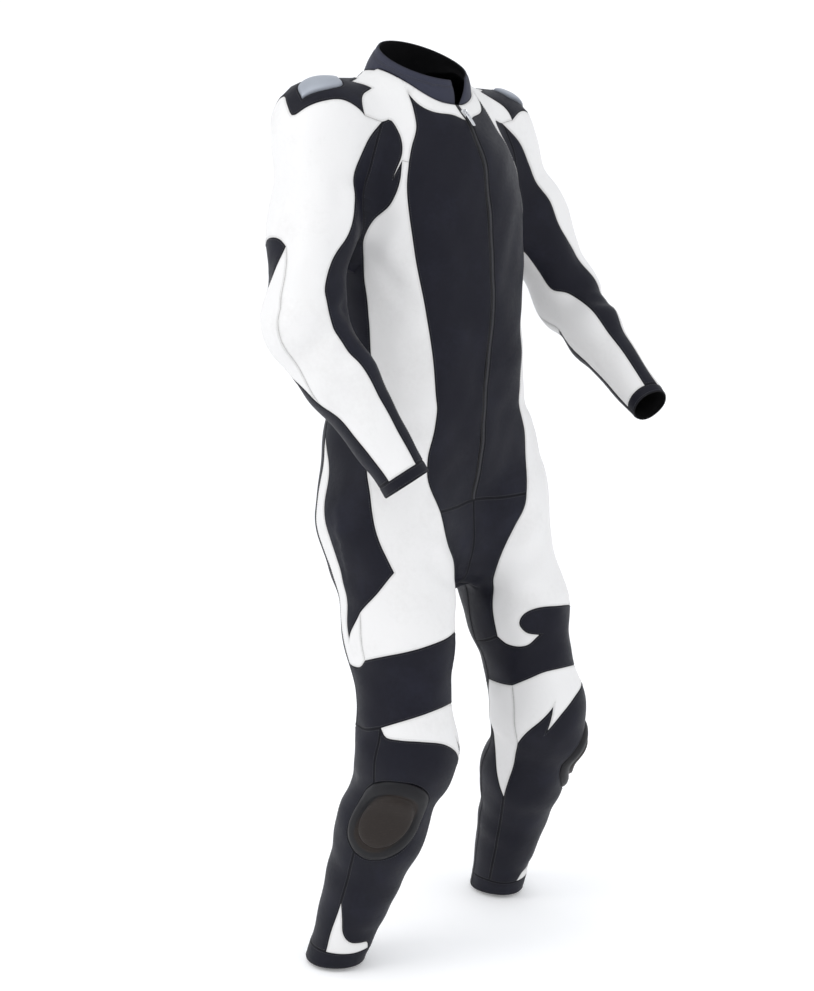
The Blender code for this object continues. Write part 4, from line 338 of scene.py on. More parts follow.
class Surface:
    """The outer face of the leather, where gap(p) is zero; shoulders and sleeves differ by side."""

    normal_step = 0.0008    # half the distance over which a slope is read
    halvings, moves = 14, 3    # rounds of a cast's search, and moves that settle a point

    def __init__(self) -> None:
        """Build the yokes, the sleeves and a leg, and move the creases onto them."""
        self.yokes = [
            Limb((YOKE_START, *NECK[1:]), shoulder, NECK_R, YOKE_R, side=(0, 1, 0))
            for shoulder in (SHOULDER, SHOULDER_LEFT)]
        self.arms = [
            chain((shoulder, between(shoulder, ELBOW, UPPER_ARM), ELBOW,
                   between(ELBOW, wrist, FOREARM), between(ELBOW, wrist, PAST_WRIST)),
                  (CAP_R, *radii))
            for shoulder, wrist, radii in (
                (SHOULDER, WRIST, (BICEP_R, ELBOW_R, FOREARM_R, CUFF_R)),
                (SHOULDER_LEFT, WRIST_LEFT, (BICEP_L, ELBOW_L, FOREARM_L, CUFF_L)))]
        self.leg = chain((HIP, THIGH, KNEE, between(KNEE, ANKLE, SHANK),
                          between(KNEE, ANKLE, PAST_ANKLE)),
                         (HIP_R, THIGH_R, KNEE_R, CALF_R, HEM_R))
        rows = np.array(CREASES)
        self.creases = np.hstack([self.settle(rows[:, :3]), rows[:, 3:]])

    @staticmethod
    def torso(p: Array) -> Array:
        """(|x / half|^power + |y / depth|^power)^(1 / power) - 1, scaled to a distance."""
        centre, half, front, back, power = rows_at(TORSO, -p[..., 2]).T
        y = p[..., 1] - centre.T
        deep = np.where(y < 0, front.T, back.T)
        power = np.where(y < 0, power.T, 2.0)
        half = half.T
        size = ((np.abs(p[..., 0]) / half) ** power + (np.abs(y) / deep) ** power) ** (1 / power)
        beyond = (CROTCH_BLUNT * np.maximum(0, -p[..., 2] - CROTCH_DROP) ** 2
                  + np.maximum(0, p[..., 2] - NECK_RISE))
        return (size - 1) * np.minimum(half, deep) + beyond

    @staticmethod
    def limb(lengths: list[Limb], p: Array, reach: float) -> Array:
        """Soft minimum over the lengths of a limb."""
        value = lengths[0](p)
        for length in lengths[1:]:
            value = blend(value, length(p), reach)
        return value

    def gap(self, p: Array) -> Array:
        """Distance-like value outside the suit, negative inside: the forms' soft union."""
        own = np.concatenate([np.abs(p[..., :1]), p[..., 1:]], axis=-1)
        other = own * (-1, 1, 1)
        value = blend(self.torso(own), self.yokes[0](p * (-1, 1, 1)), YOKE_REACH)
        value = blend(value, self.yokes[1](p), YOKE_REACH)
        sleeve = np.where(p[..., 0] < 0, self.limb(self.arms[0], own, SLEEVE_REACH),
                          self.limb(self.arms[1], own, SLEEVE_REACH))
        value = blend(value, sleeve, ARM_REACH)
        legs = blend(self.limb(self.leg, own, SHANK_REACH), self.limb(self.leg, other, SHANK_REACH),
                     CROTCH_REACH)
        return blend(value, legs, LEG_REACH) - pressed(p, FOLDS)

    def climb(self, p: Array) -> Array:
        """How much gap grows along each axis over two steps about a point."""
        step = self.normal_step
        return np.stack([self.gap(p + step * e) - self.gap(p - step * e) for e in np.eye(3)],
                        axis=-1)

    def normals(self, p: Array) -> Array:
        """Outward directions at points on the surface: the gradient of gap."""
        return unit(self.climb(p))

    def cast(self, origin: Array, direction: Array, reach: float = 0.34,
             step: float = 0.010) -> Array:
        """Where rays that start inside the suit first leave it, by steps and then halving."""
        near, far = np.zeros(len(origin)), np.full(len(origin), reach)
        open_ray = np.ones(len(origin), bool)
        for distance in np.arange(step, reach, step):
            value = self.gap(origin[open_ray] + direction[open_ray] * distance)
            where = np.flatnonzero(open_ray)
            far[where[value > 0]] = distance
            near[where[value <= 0]] = distance
            open_ray[where[value > 0]] = False
            if not open_ray.any():
                break
        for _ in range(self.halvings):
            middle = (near + far) / 2
            outside = self.gap(origin + direction * middle[:, None]) > 0
            far = np.where(outside, middle, far)
            near = np.where(outside, near, middle)
        return origin + direction * ((near + far) / 2)[:, None]

    def settle(self, p: Array) -> Array:
        """Points near the surface moved onto it: p - gap * slope / |slope|^2, a few times."""
        for _ in range(self.moves):
            slope = self.climb(p) / (2 * self.normal_step)
            p = p - slope * (self.gap(p) / np.maximum((slope * slope).sum(-1), 0.05))[..., None]
        return p

    def relief(self, p: Array) -> Array:
        """How far creases and the leather's own unevenness push it out: creases plus sines."""
        rise = pressed(p, self.creases)
        for way, length, height in WAVES:
            rise = rise + height * np.sin(2 * math.pi * (p @ unit(way)) / length
                                          + 1.3 * np.sin(p @ np.roll(way, 1) / length * 2.1))
        return rise


SUIT = Surface()

# ---------------------------------------------------------------- ways to name a place on it
BODY_AXIS = (  # drop, x, y: the line that the level rays of one half of the body leave from
    (0.18, 0.000, 0.005), (0.42, 0.000, 0.000), (0.50, 0.045, -0.012), (0.62, 0.100, -0.030),
    (0.76, 0.121, -0.065), (0.90, 0.143, -0.098), (0.98, 0.152, -0.092), (1.05, 0.160, -0.070),
    (1.32, 0.191, 0.021),
)
BODY_RADIUS = ((-0.40, 0.040), (-0.10, 0.110), (0.18, 0.150), (0.42, 0.145), (0.62, 0.100),
               (0.90, 0.072), (1.30, 0.048))


class Chart:
    """A way to name places on one side of the suit by two numbers."""

    turning = True

    def __init__(self, side: int):
        """Side is -1 for the wearer's right and 1 for their left."""
        self.side = side

    def point(self, place: Array) -> Array:
        """Points on the surface for rows of two numbers."""
        raise NotImplementedError

    def place(self, p: Array, about: float = 90.0) -> Array:
        """The two numbers of points, with turns within half a turn of about."""
        raise NotImplementedError

    def flat(self, place: Array) -> Array:
        """A nearly true-to-size flat map of the places."""
        return place

    def unflat(self, uv: Array) -> Array:
        """The places of points in the flat map."""
        return uv


class Turned(Chart):
    """Degrees round an axis and a length along it; laid flat, turns grow with a radius."""

    def radius(self, length: Array) -> Any:
        """The girth's radius at lengths along the axis."""
        raise NotImplementedError

    def flat(self, place: Array) -> Array:
        """Turns times the radius at their length."""
        return np.stack([np.radians(place[:, 0]) * self.radius(place[:, 1]), place[:, 1]], axis=-1)

    def unflat(self, uv: Array) -> Array:
        """The inverse of flat."""
        return np.stack([np.degrees(uv[:, 0] / self.radius(uv[:, 1])), uv[:, 1]], axis=-1)


class Body(Turned):
    """One half of the torso with its leg: degrees round from the front, and a height.

    Below CHEST_Z rays are level; above it they fan up from one point, and the height is
    CHEST_Z plus the fan's angle times its radius.
    """

    fan = 0.15

    def axis(self, z: Array) -> Array:
        """Where the rays of a height start."""
        x, y = rows_at(BODY_AXIS, -np.minimum(z, CHEST_Z)).T
        return np.stack([self.side * x, y, np.minimum(z, CHEST_Z)], axis=-1)

    def point(self, place: Array) -> Array:
        """Points for rows of (degrees, height)."""
        place = np.asarray(place, float)
        turn, z = np.radians(place[:, 0]), place[:, 1]
        lift = np.maximum(0.0, z - CHEST_Z) / self.fan
        level = np.stack([self.side * np.sin(turn), -np.cos(turn), np.zeros(len(turn))], axis=-1)
        up = np.array([0.0, 0.0, 1.0])
        return SUIT.cast(self.axis(z), level * np.cos(lift)[:, None] + up * np.sin(lift)[:, None])

    def place(self, p: Array, about: float = 90.0) -> Array:
        """The (degrees, height) of points."""
        w = p - self.axis(p[:, 2])
        turn = near_turn(np.degrees(np.arctan2(self.side * w[:, 0], -w[:, 1])), about)
        lift = np.arctan2(p[:, 2] - CHEST_Z, np.hypot(w[:, 0], w[:, 1]))
        return np.stack([turn, np.where(p[:, 2] > CHEST_Z, CHEST_Z + self.fan * lift, p[:, 2])],
                        axis=-1)

    def radius(self, length: Array) -> Array:
        """Read off BODY_RADIUS."""
        return rows_at(BODY_RADIUS, -length)[:, 0]


class Arm(Turned):
    """A sleeve: degrees round its bent axis from the front by the outside, and a length."""

    girth = 0.056    # one radius for the whole sleeve's flat map
    root = ((0.060, 0.030, -0.095), (0.140, 0.033, -0.078))    # the axis starts inside the chest
    below_shoulder, past_wrist = 0.30, 1.20    # shares of the way where it bends, and where it ends
    samples, bend = 321, 0.045    # its points, and the length over which its bends are rounded

    def __init__(self, side: int):
        """Lay the sleeve's axis through its joints and round its bends."""
        super().__init__(side)
        shoulder, wrist = (SHOULDER, WRIST) if side < 0 else (SHOULDER_LEFT, WRIST_LEFT)
        knots = np.array([*self.root, between(shoulder, ELBOW, self.below_shoulder), ELBOW, wrist,
                          between(ELBOW, wrist, self.past_wrist)], float)
        even = np.linspace(0, along_line(knots)[-1], self.samples)
        line = resample(knots, even)
        soft = np.exp(-((even[:, None] - even) / self.bend) ** 2)
        ends = np.minimum(even, even[-1] - even)
        soft = np.where(np.abs(even[:, None] - even) <= ends[:, None] + 1e-9, soft, 0.0)
        self.line = (soft @ line) / soft.sum(axis=1, keepdims=True) * (side, 1, 1)
        self.length = along_line(self.line)
        self.along = unit(np.gradient(self.line, axis=0))
        ahead = np.array([0.0, -1.0, 0.0])
        self.front = unit(ahead - self.along * (self.along @ ahead)[:, None])
        self.out = np.cross(self.along, self.front) * -side

    def at(self, rows: Array, length: Array) -> Array:
        """Rows of the axis, or of its directions, at lengths along it."""
        return np.stack([np.interp(length, self.length, rows[:, k]) for k in range(3)], axis=-1)

    def point(self, place: Array) -> Array:
        """Points for rows of (degrees, length)."""
        place = np.asarray(place, float)
        turn = np.radians(place[:, 0])[:, None]
        way = (unit(self.at(self.front, place[:, 1])) * np.cos(turn)
               + unit(self.at(self.out, place[:, 1])) * np.sin(turn))
        return SUIT.cast(self.at(self.line, place[:, 1]), way)

    def place(self, p: Array, about: float = 90.0) -> Array:
        """The (degrees, length) of points, from the nearest plane square to the axis."""
        w = p[:, None, :] - self.line[None]
        ahead = (w * self.along[None]).sum(-1)
        crossing = (ahead[:, :-1] >= 0) & (ahead[:, 1:] < 0)
        k = np.argmin(np.where(crossing, (w * w).sum(-1)[:, :-1], FAR), axis=1)
        row = np.arange(len(p))
        a, b = ahead[row, k], ahead[row, k + 1]
        length = self.length[k] + (self.length[k + 1] - self.length[k]) * a / (a - b)
        w = p - self.at(self.line, length)
        turn = np.degrees(np.arctan2((w * self.at(self.out, length)).sum(-1),
                                     (w * self.at(self.front, length)).sum(-1)))
        return np.stack([near_turn(turn, about), length], axis=-1)

    def radius(self, length: Array) -> float:
        """The same at every length."""
        return self.girth


class Straight(Chart):
    """Rays along one axis from a plane inside the suit: places are two plain coordinates."""

    turning = False
    heading = {"ahead": (0, -1, 0), "behind": (0, 1, 0), "up": (0, 0, 1), "down": (0, 0, -1)}
    level, chest, seat = -0.03, -0.10, -0.60    # y of level rays' plane, z where others start

    def __init__(self, side: int, way: str):
        """Way is ahead, behind, up or down."""
        super().__init__(side)
        self.way = way

    def point(self, place: Array) -> Array:
        """Points for rows of (x, z), or of (x, y) for up and down."""
        u, v = np.asarray(place, float).T
        across = self.way in ("ahead", "behind")
        start = ((u, 0 * u + self.level, v) if across else
                 (u, v, 0 * u + (self.chest if self.way == "up" else self.seat)))
        return SUIT.cast(np.stack(start, axis=-1) * (self.side, 1, 1),
                         np.tile(np.array(self.heading[self.way], float), (len(u), 1)))

    def place(self, p: Array, about: float = 0.0) -> Array:
        """The two plain coordinates of points."""
        return np.stack([p[:, 0] * self.side, p[:, 2 if self.way in ("ahead", "behind") else 1]],
                        axis=-1)


class Neck(Straight):
    """The foot of the collar: degrees from the front of an oval, and a share of its size."""

    turning = True
    half, centre, depth = 0.077, 0.015, 0.081

    def __init__(self, side: int):
        """Rays go up."""
        super().__init__(side, "up")

    def point(self, place: Array) -> Array:
        """Points for rows of (degrees, share)."""
        turn, share = np.radians(place)[:, 0], np.asarray(place, float)[:, 1]
        return super().point(np.stack([self.half * share * np.sin(turn),
                                       self.centre - self.depth * share * np.cos(turn)], axis=-1))

    def place(self, p: Array, about: float = 90.0) -> Array:
        """The (degrees, share) of points."""
        x, y = p[:, 0] * self.side / self.half, (self.centre - p[:, 1]) / self.depth
        return np.stack([np.degrees(np.arctan2(x, y)), np.hypot(x, y)], axis=-1)


def near_turn(turn: Any, other: Any) -> Any:
    """The same turn in degrees, given within half a turn of another."""
    return other + (turn - other + 180.0) % 360.0 - 180.0


def charts(side: int) -> dict[str, Chart]:
    """Every way to name a place on one side of the suit."""
    found: dict[str, Chart] = {"body": Body(side), "arm": Arm(side), "neck": Neck(side)}
    found.update({way: Straight(side, way) for way in Straight.heading})
    return found


# ---------------------------------------------------------------- seams
HEM_V, HEM_END = -1.256, -1.284
PUCK_AT, PUCK_HALF = (50.0, -1.018), (50.0, 0.066)
CUFF_S, CUFF_END = 0.600, 0.617
ZIP_DEG = math.degrees(math.asin(ZIP_HALF / Neck.half))

# Where seams meet: each place, by the map that names it.
NODES = {
    "neck": {
        "neck_zip": (ZIP_DEG, 1.0), "neck_side": (128.0, 1.0), "neck_yoke": (152.0, 1.0),
        "neck_back": (180.0, 1.0),
    },
    "ahead": {
        "bib_zip": (ZIP_HALF, -0.020), "fly_centre": (0.0, FLY_Z), "fly_zip": (ZIP_HALF, FLY_Z),
    },
    "body": {
        "bib_tip": (59.5, -0.005), "strap_out": (57.5, -0.083), "strap_in": (53.6, -0.084),
        "fly_side": (6.0, FLY_Z), "waist_side": (116.0, -0.435), "yoke_tip": (75.0, -0.061),
        "stripe_top": (113.0, -0.478), "stripe_low": (111.0, -0.763), "panel_edge": (85.0, -0.719),
        "panel_tip": (43.0, -0.655), "band_front": (87.0, -0.787), "band_out": (128.0, -0.805),
        "band_in": (-75.0, -0.803), "band_seam": (-125.0, -0.820), "under_seam": (-125.0, -0.884),
        "under_in": (-72.0, -0.879), "under_out": (73.0, -0.877), "under_back": (128.0, -0.890),
        "white_side": (-66.0, -0.976), "white_low": (-71.0, -1.078), "calf_seam": (-128.0, -0.960),
        "puck_top": (76.0, -0.962), "puck_low": (76.0, -1.074), "ankle_top": (75.0, -1.168),
        "ankle_tip": (-14.0, HEM_V), "hem_out": (73.0, HEM_V), "hem_in": (-70.0, HEM_V),
        "hem_seam": (-125.0, HEM_V), "hem_end": (-125.0, HEM_END),
    },
    "down": {
        "rise_front": (0.0, -0.074), "rise_back": (0.0, 0.040), "rise_side": (0.053, -0.034),
    },
    "behind": {
        "waist_back": (0.0, -0.435),
    },
    "arm": {
        "hole_front": (42.0, 0.071), "hole_inner": (-76.0, 0.240), "hole_under": (-150.0, 0.150),
        "hole_back": (-186.0, 0.122), "hole_top": (-222.0, 0.112), "flame_tip": (88.0, 0.262),
        "flame_top": (210.0, 0.232), "flame_low": (210.0, 0.305), "elbow_low": (210.0, 0.400),
        "elbow_tip": (98.0, 0.462), "cuff_inner": (-50.0, CUFF_S), "cuff_front": (-4.0, CUFF_S),
        "cuff_under": (73.0, CUFF_S), "cuff_back": (210.0, CUFF_S), "cuff_end": (210.0, CUFF_END),
        "cup_in": (83.0, 0.084), "cup_out": (86.0, 0.122),
    },
}


def level_rows(first: float, last: float, height: float, every: float = 30.0) -> list[tuple]:
    """Places between two turns at one height."""
    count = max(1, round(abs(last - first) / every))
    return [(first + (last - first) * k / count, height) for k in range(1, count)]


def oval_rows(centre: tuple, half: tuple, first: float, last: float, count: int) -> list[tuple]:
    """Places on an oval between two turns of its own, without its ends."""
    turns = np.radians(np.linspace(first, last, count + 2))[1:-1]
    return [(centre[0] + half[0] * math.cos(t), centre[1] + half[1] * math.sin(t)) for t in turns]


# Each seam: where it starts, where it ends, the map it is drawn in, and the places it passes.
# A third value marks a corner.
SEAMS = {
    # neck and zip
    "neck_front": ("neck_zip", "neck_side", "neck", level_rows(ZIP_DEG, 128, 1.0)),
    "neck_rear": ("neck_side", "neck_yoke", "neck", []),
    "neck_nape": ("neck_yoke", "neck_back", "neck", []),
    "zip_top": ("neck_zip", "bib_zip", "ahead", []),
    "zip_edge": ("bib_zip", "fly_zip", "ahead",
                 [(ZIP_HALF, z) for z in (-0.06, -0.12, -0.25, -0.40, -0.50)]),
    "fly_end": ("fly_centre", "fly_zip", "ahead", []),
    "fly": ("fly_zip", "fly_side", "body", [(-24, -0.577), (-8, -0.576)]),
    "rise": ("fly_centre", "rise_front", "ahead", [(0.0, -0.62), (0.0, -0.68)]),
    # front
    "bib_top": ("bib_zip", "bib_tip", "body", [(15, -0.016), (38, -0.014), (51, -0.010)]),
    "bib_strap": ("bib_tip", "strap_in", "body", [(54, -0.016), (50, -0.036), (52.5, -0.062)]),
    "bib_side": ("strap_in", "fly_side", "body",
                 [(54, -0.120), (50, -0.200), (44.5, -0.280), (40.5, -0.350), (38.5, -0.415),
                  (36, -0.465), (28, -0.520)]),
    "inner_thigh": ("fly_side", "band_in", "body",
                    [(-14, -0.620), (-33, -0.657), (-53, -0.708), (-66, -0.757)]),
    "strap": ("strap_in", "strap_out", "body", []),
    "side_top": ("hole_front", "strap_out", "body",
                 [(67, -0.041), (60.5, -0.052), (58, -0.072), (61.5, -0.104, 1)]),
    "side_front": ("strap_out", "panel_tip", "body",
                   [(58, -0.109), (62.5, -0.138), (70.5, -0.160), (76, -0.198), (77, -0.240),
                    (75.5, -0.290), (74, -0.420), (71.5, -0.500), (64, -0.550)]),
    "panel_low": ("panel_tip", "panel_edge", "body", [(60, -0.686)]),
    "panel_end": ("panel_edge", "stripe_low", "body", [(98, -0.742)]),
    "thigh_out": ("panel_edge", "band_front", "body", []),
    "stripe_front": ("stripe_top", "stripe_low", "body",
                     [(107, -0.540), (105, -0.620), (108, -0.700)]),
    "stripe_back": ("stripe_top", "band_out", "body",
                    [(121, -0.530), (126, -0.600), (131, -0.680), (132, -0.750)]),
    # shoulder
    "yoke_edge": ("neck_side", "yoke_tip", "body",
                  [(120, -0.007), (106, -0.014), (98, -0.019), (91, -0.031, 1), (86.5, -0.024),
                   (83, -0.022, 1), (80, -0.040)]),
    "yoke_hole": ("yoke_tip", "hole_front", "arm", []),
    "yoke_low": ("yoke_tip", "hole_top", "arm",
                 [(60, 0.103), (72, 0.120), (82, 0.128), (91, 0.132), (98, 0.124), (105, 0.114),
                  (121, 0.110)]),
    "yoke_rear": ("hole_top", "neck_yoke", "body", [(118, -0.032)]),
    "cup_fore": ("cup_in", "cup_out", "arm", [(73, 0.093), (75, 0.109)]),
    "cup_rear": ("cup_out", "cup_in", "arm", [(95, 0.110), (93, 0.096)]),
    # back
    "back_top": ("neck_back", "waist_back", "behind", [(0.0, -0.05), (0.0, -0.15), (0.0, -0.30)]),
    "waist": ("waist_back", "waist_side", "body", [(160, -0.435), (138, -0.435)]),
    "back_side": ("hole_back", "waist_side", "body", [(122, -0.200), (116, -0.320)]),
    "seat_side": ("waist_side", "stripe_top", "body", []),
    "seat": ("waist_back", "rise_back", "behind",
             [(0.0, -0.50), (0.0, -0.57), (0.0, -0.63), (0.0, -0.67)]),
    "gusset_front": ("rise_front", "rise_side", "down", [(0.036, -0.062)]),
    "gusset_back": ("rise_side", "rise_back", "down", [(0.036, 0.008)]),
    "inseam": ("rise_side", "band_seam", "body", []),
    # armhole
    "hole_a": ("hole_front", "hole_inner", "arm",
               [(22, 0.092), (0, 0.115), (-20, 0.142), (-40, 0.175), (-60, 0.214)]),
    "hole_b": ("hole_inner", "hole_under", "arm",
               [(-92, 0.250), (-108, 0.238), (-124, 0.205), (-138, 0.172)]),
    "hole_c": ("hole_under", "hole_back", "arm", [(-168, 0.132)]),
    "hole_d": ("hole_back", "hole_top", "arm", [(-204, 0.116)]),
    # sleeve
    "sleeve_front": ("hole_front", "cuff_front", "arm",
                     [(31, 0.100), (14, 0.135), (1, 0.165), (-3, 0.195), (-5, 0.243),
                      (13, 0.285), (18, 0.323), (9, 0.390), (0, 0.450), (-6, 0.520)]),
    "sleeve_inner": ("hole_inner", "cuff_inner", "arm",
                     [(-71, 0.300), (-66, 0.350), (-55, 0.430), (-48, 0.520)]),
    "under_a": ("hole_under", "flame_top", "arm", [(-150, 0.190)]),
    "under_b": ("flame_top", "flame_low", "arm", []),
    "under_c": ("flame_low", "elbow_low", "arm", [(210, 0.350)]),
    "under_d": ("elbow_low", "cuff_back", "arm", [(210, 0.470), (210, 0.540)]),
    "flame_over": ("flame_tip", "flame_top", "arm", [(100, 0.250), (122, 0.242), (165, 0.238)]),
    "flame_under": ("flame_tip", "flame_low", "arm",
                    [(98, 0.276), (106, 0.288), (124, 0.308), (165, 0.312)]),
    "elbow_seam": ("flame_tip", "elbow_tip", "arm",
                   [(81, 0.290), (79, 0.325), (87, 0.380), (95, 0.425)]),
    "strip_top": ("elbow_tip", "elbow_low", "arm", [(110, 0.436), (135, 0.408), (170, 0.396)]),
    "strip_front": ("elbow_tip", "cuff_under", "arm", [(86, 0.490), (77, 0.535)]),
    "cuff_a": ("cuff_inner", "cuff_front", "arm", level_rows(-50, -4, CUFF_S)),
    "cuff_b": ("cuff_front", "cuff_under", "arm", level_rows(-4, 73, CUFF_S)),
    "cuff_c": ("cuff_under", "cuff_back", "arm", level_rows(73, 210, CUFF_S)),
    "cuff_d": ("cuff_back", "cuff_inner", "arm", level_rows(210, 310, CUFF_S)),
    "cuff_rim": ("cuff_end", "cuff_end", "arm", level_rows(210, -150, CUFF_END, 24)),
    "cuff_join": ("cuff_back", "cuff_end", "arm", []),
    # leg
    "band_a": ("band_out", "band_front", "body", [(112, -0.803), (98, -0.799)]),
    "band_b": ("band_front", "band_in", "body",
               [(62, -0.775), (39, -0.765), (8, -0.752), (-15, -0.750), (-31, -0.761),
                (-38, -0.778), (-33, -0.791), (-20, -0.795, 1), (-37, -0.812), (-64, -0.813)]),
    "band_c": ("band_in", "band_seam", "body", [(-98, -0.813)]),
    "band_back": ("band_out", "under_back", "body", []),
    "band_side": ("band_seam", "under_seam", "body", []),
    "under_x": ("under_seam", "under_in", "body", [(-98, -0.882)]),
    "under_y": ("under_in", "under_out", "body",
                [(-48, -0.866), (-22, -0.854), (8, -0.853), (33, -0.859), (55, -0.868)]),
    "under_z": ("under_out", "under_back", "body", [(98, -0.886)]),
    "white_seam": ("under_in", "white_side", "body", [(-69, -0.925)]),
    "white_edge": ("under_out", "white_side", "body",
                   [(66, -0.888), (50, -0.890), (29, -0.892), (5, -0.900), (-15, -0.918),
                    (-32, -0.947, 1), (-25, -0.908, 1), (-38, -0.928), (-53, -0.950)]),
    "white_point": ("white_side", "white_low", "body", [(-69.5, -1.000), (-69, -1.030)]),
    "calf_edge": ("calf_seam", "white_low", "body", [(-104, -1.015)]),
    "calf_line": ("white_low", "hem_in", "body", [(-71, -1.140), (-70, -1.200)]),
    "knee_seam": ("under_seam", "calf_seam", "body", []),
    "knee_back": ("under_back", "under_seam", "body",
                  [(150, -0.905), (180, -0.915), (210, -0.903)]),
    "calf_inseam": ("calf_seam", "hem_seam", "body", [(-128, -1.060), (-126, -1.160)]),
    "shin_a": ("under_out", "puck_top", "body", [(76, -0.920)]),
    "shin_b": ("puck_low", "ankle_top", "body", [(76, -1.120)]),
    "shin_c": ("ankle_top", "hem_out", "body", [(76, -1.215)]),
    "puck_fore": ("puck_top", "puck_low", "body", oval_rows(PUCK_AT, PUCK_HALF, 59, 301, 9)),
    "puck_rear": ("puck_low", "puck_top", "body", oval_rows(PUCK_AT, PUCK_HALF, -59, 59, 4)),
    "ankle_edge": ("ankle_top", "ankle_tip", "body",
                   [(63, -1.195), (52, -1.220), (35, -1.235), (12, -1.240), (-4, -1.243)]),
    "hem_a": ("hem_seam", "hem_in", "body", level_rows(-125, -70, HEM_V)),
    "hem_b": ("hem_in", "ankle_tip", "body", level_rows(-70, -14, HEM_V)),
    "hem_c": ("ankle_tip", "hem_out", "body", level_rows(-14, 73, HEM_V)),
    "hem_d": ("hem_out", "hem_seam", "body", level_rows(73, 235, HEM_V)),
    "hem_rim": ("hem_end", "hem_end", "body", level_rows(-125, 235, HEM_END, 24)),
    "hem_join": ("hem_seam", "hem_end", "body", []),
}

# Each leather panel: its map, the turn its places are counted about, its loop of seams (a minus
# runs one backwards), the loops left open in it, and its colour.
PIECES = {
    "shoulder_yoke": ("body", 100, "neck_rear -yoke_rear -yoke_low -yoke_edge",
                      "cup_fore cup_rear", "black"),
    "yoke_front": ("body", 60, "neck_front yoke_edge yoke_hole side_top -strap -bib_strap"
                   " -bib_top -zip_top", "", "white"),
    "front_center": ("body", 30, "bib_top bib_strap bib_side -fly -zip_edge", "", "black"),
    "crotch_front": ("body", -40, "fly_end fly inner_thigh band_c -inseam -gusset_front -rise",
                     "", "black"),
    "side_front": ("body", 40, "strap side_front panel_low thigh_out band_b -inner_thigh"
                   " -bib_side", "", "white"),
    "side_panel": ("body", 85, "side_top side_front panel_low panel_end -stripe_front"
                   " -seat_side -back_side -hole_c -hole_b -hole_a", "", "black"),
    "side_stripe": ("body", 115, "stripe_front -panel_end thigh_out -band_a -stripe_back", "",
                    "white"),
    "back_upper": ("body", 140, "neck_nape back_top waist -back_side hole_d yoke_rear", "",
                   "black"),
    "back_seat": ("body", 170, "seat -gusset_back inseam band_side -knee_back -band_back"
                  " -stripe_back -seat_side -waist", "", "black"),
    "sleeve_front": ("arm", -20, "sleeve_front -cuff_a -sleeve_inner -hole_a", "", "black"),
    "sleeve_outer": ("arm", 70, "yoke_hole sleeve_front cuff_b -strip_front -elbow_seam"
                     " flame_over -under_a hole_c hole_d -yoke_low", "", "white"),
    "sleeve_inner": ("arm", -100, "hole_b under_a under_b under_c under_d cuff_d -sleeve_inner",
                     "", "white"),
    "sleeve_flame": ("arm", 150, "flame_over under_b -flame_under", "", "black"),
    "elbow": ("arm", 150, "flame_under under_c -strip_top -elbow_seam", "", "white"),
    "sleeve_under": ("arm", 140, "strip_top under_d -cuff_c -strip_front", "", "black"),
    "cuff": ("arm", 210, "cuff_d cuff_a cuff_b cuff_c cuff_join cuff_rim -cuff_join", "", "black"),
    "knee_band": ("body", 0, "band_a band_b band_c band_side under_x under_y under_z -band_back",
                  "", "black"),
    "knee_white": ("body", 0, "white_edge -white_seam under_y", "", "white"),
    "calf_flame": ("body", -95, "under_x white_seam white_point -calf_edge -knee_seam", "",
                   "white"),
    "shin": ("body", 0, "shin_a puck_fore shin_b ankle_edge -hem_b -calf_line -white_point"
             " -white_edge", "", "black"),
    "calf_back": ("body", 100, "under_z knee_back knee_seam calf_inseam -hem_d -shin_c -shin_b"
                  " puck_rear -shin_a", "", "black"),
    "calf_inner": ("body", -95, "calf_edge calf_line -hem_a -calf_inseam", "", "black"),
    "ankle_flame": ("body", 30, "ankle_edge hem_c -shin_c", "", "white"),
    "hem": ("body", -125, "hem_a hem_b hem_c hem_d hem_join -hem_rim -hem_join", "", "black"),
}


# ---------------------------------------------------------------- drawing seams and panels
def flow(points: Array, per_run: int = 12) -> Array:
    """A cubic Hermite line through a few points of a flat map, as dense points.

    Args:
        points: The places passed, in order.
        per_run: Dense points for each run between two places.
    """
    points = np.asarray(points, float)
    if len(points) == 2:
        return between(points[0], points[1], np.linspace(0, 1, 2 * per_run)[:, None])
    run = np.r_[0, np.cumsum(np.sqrt(np.linalg.norm(np.diff(points, axis=0), axis=1)))]
    slope = np.gradient(points, run, axis=0)
    slope[0] = (points[1] - points[0]) / (run[1] - run[0])
    slope[-1] = (points[-1] - points[-2]) / (run[-1] - run[-2])
    t = np.linspace(0, 1, per_run, endpoint=False)[None, :, None]
    a, b, sa, sb = (x[:, None] for x in (points[:-1], points[1:], slope[:-1], slope[1:]))
    dense = hermite(a, b, sa, sb, np.diff(run)[:, None, None], t)
    return np.vstack([dense.reshape(-1, 2), points[-1:]])


def loop_places(chart: Chart, points: Array, about: float) -> Array:
    """Flat places along a closed loop, followed round so that no turn is skipped."""
    place = chart.place(points, about)
    if chart.turning:
        place[:, 0] = np.degrees(np.unwrap(np.radians(place[:, 0])))
        place[:, 0] += 360.0 * round((about - place[0, 0]) / 360.0)
    return chart.flat(place)


def inset(points: Array, normal: Array, turn: float, distance: float) -> Array:
    """The loop drawn in from its seams by a distance, square to each."""
    ahead, behind = np.roll(points, -1, axis=0), np.roll(points, 1, axis=0)
    left = unit(np.cross(normal, unit(points - behind))) * turn
    right = unit(np.cross(normal, unit(ahead - points))) * turn
    spread = np.maximum(1.0 + (left * right).sum(-1, keepdims=True), 0.06)
    return points + (left + right) * (distance / spread)


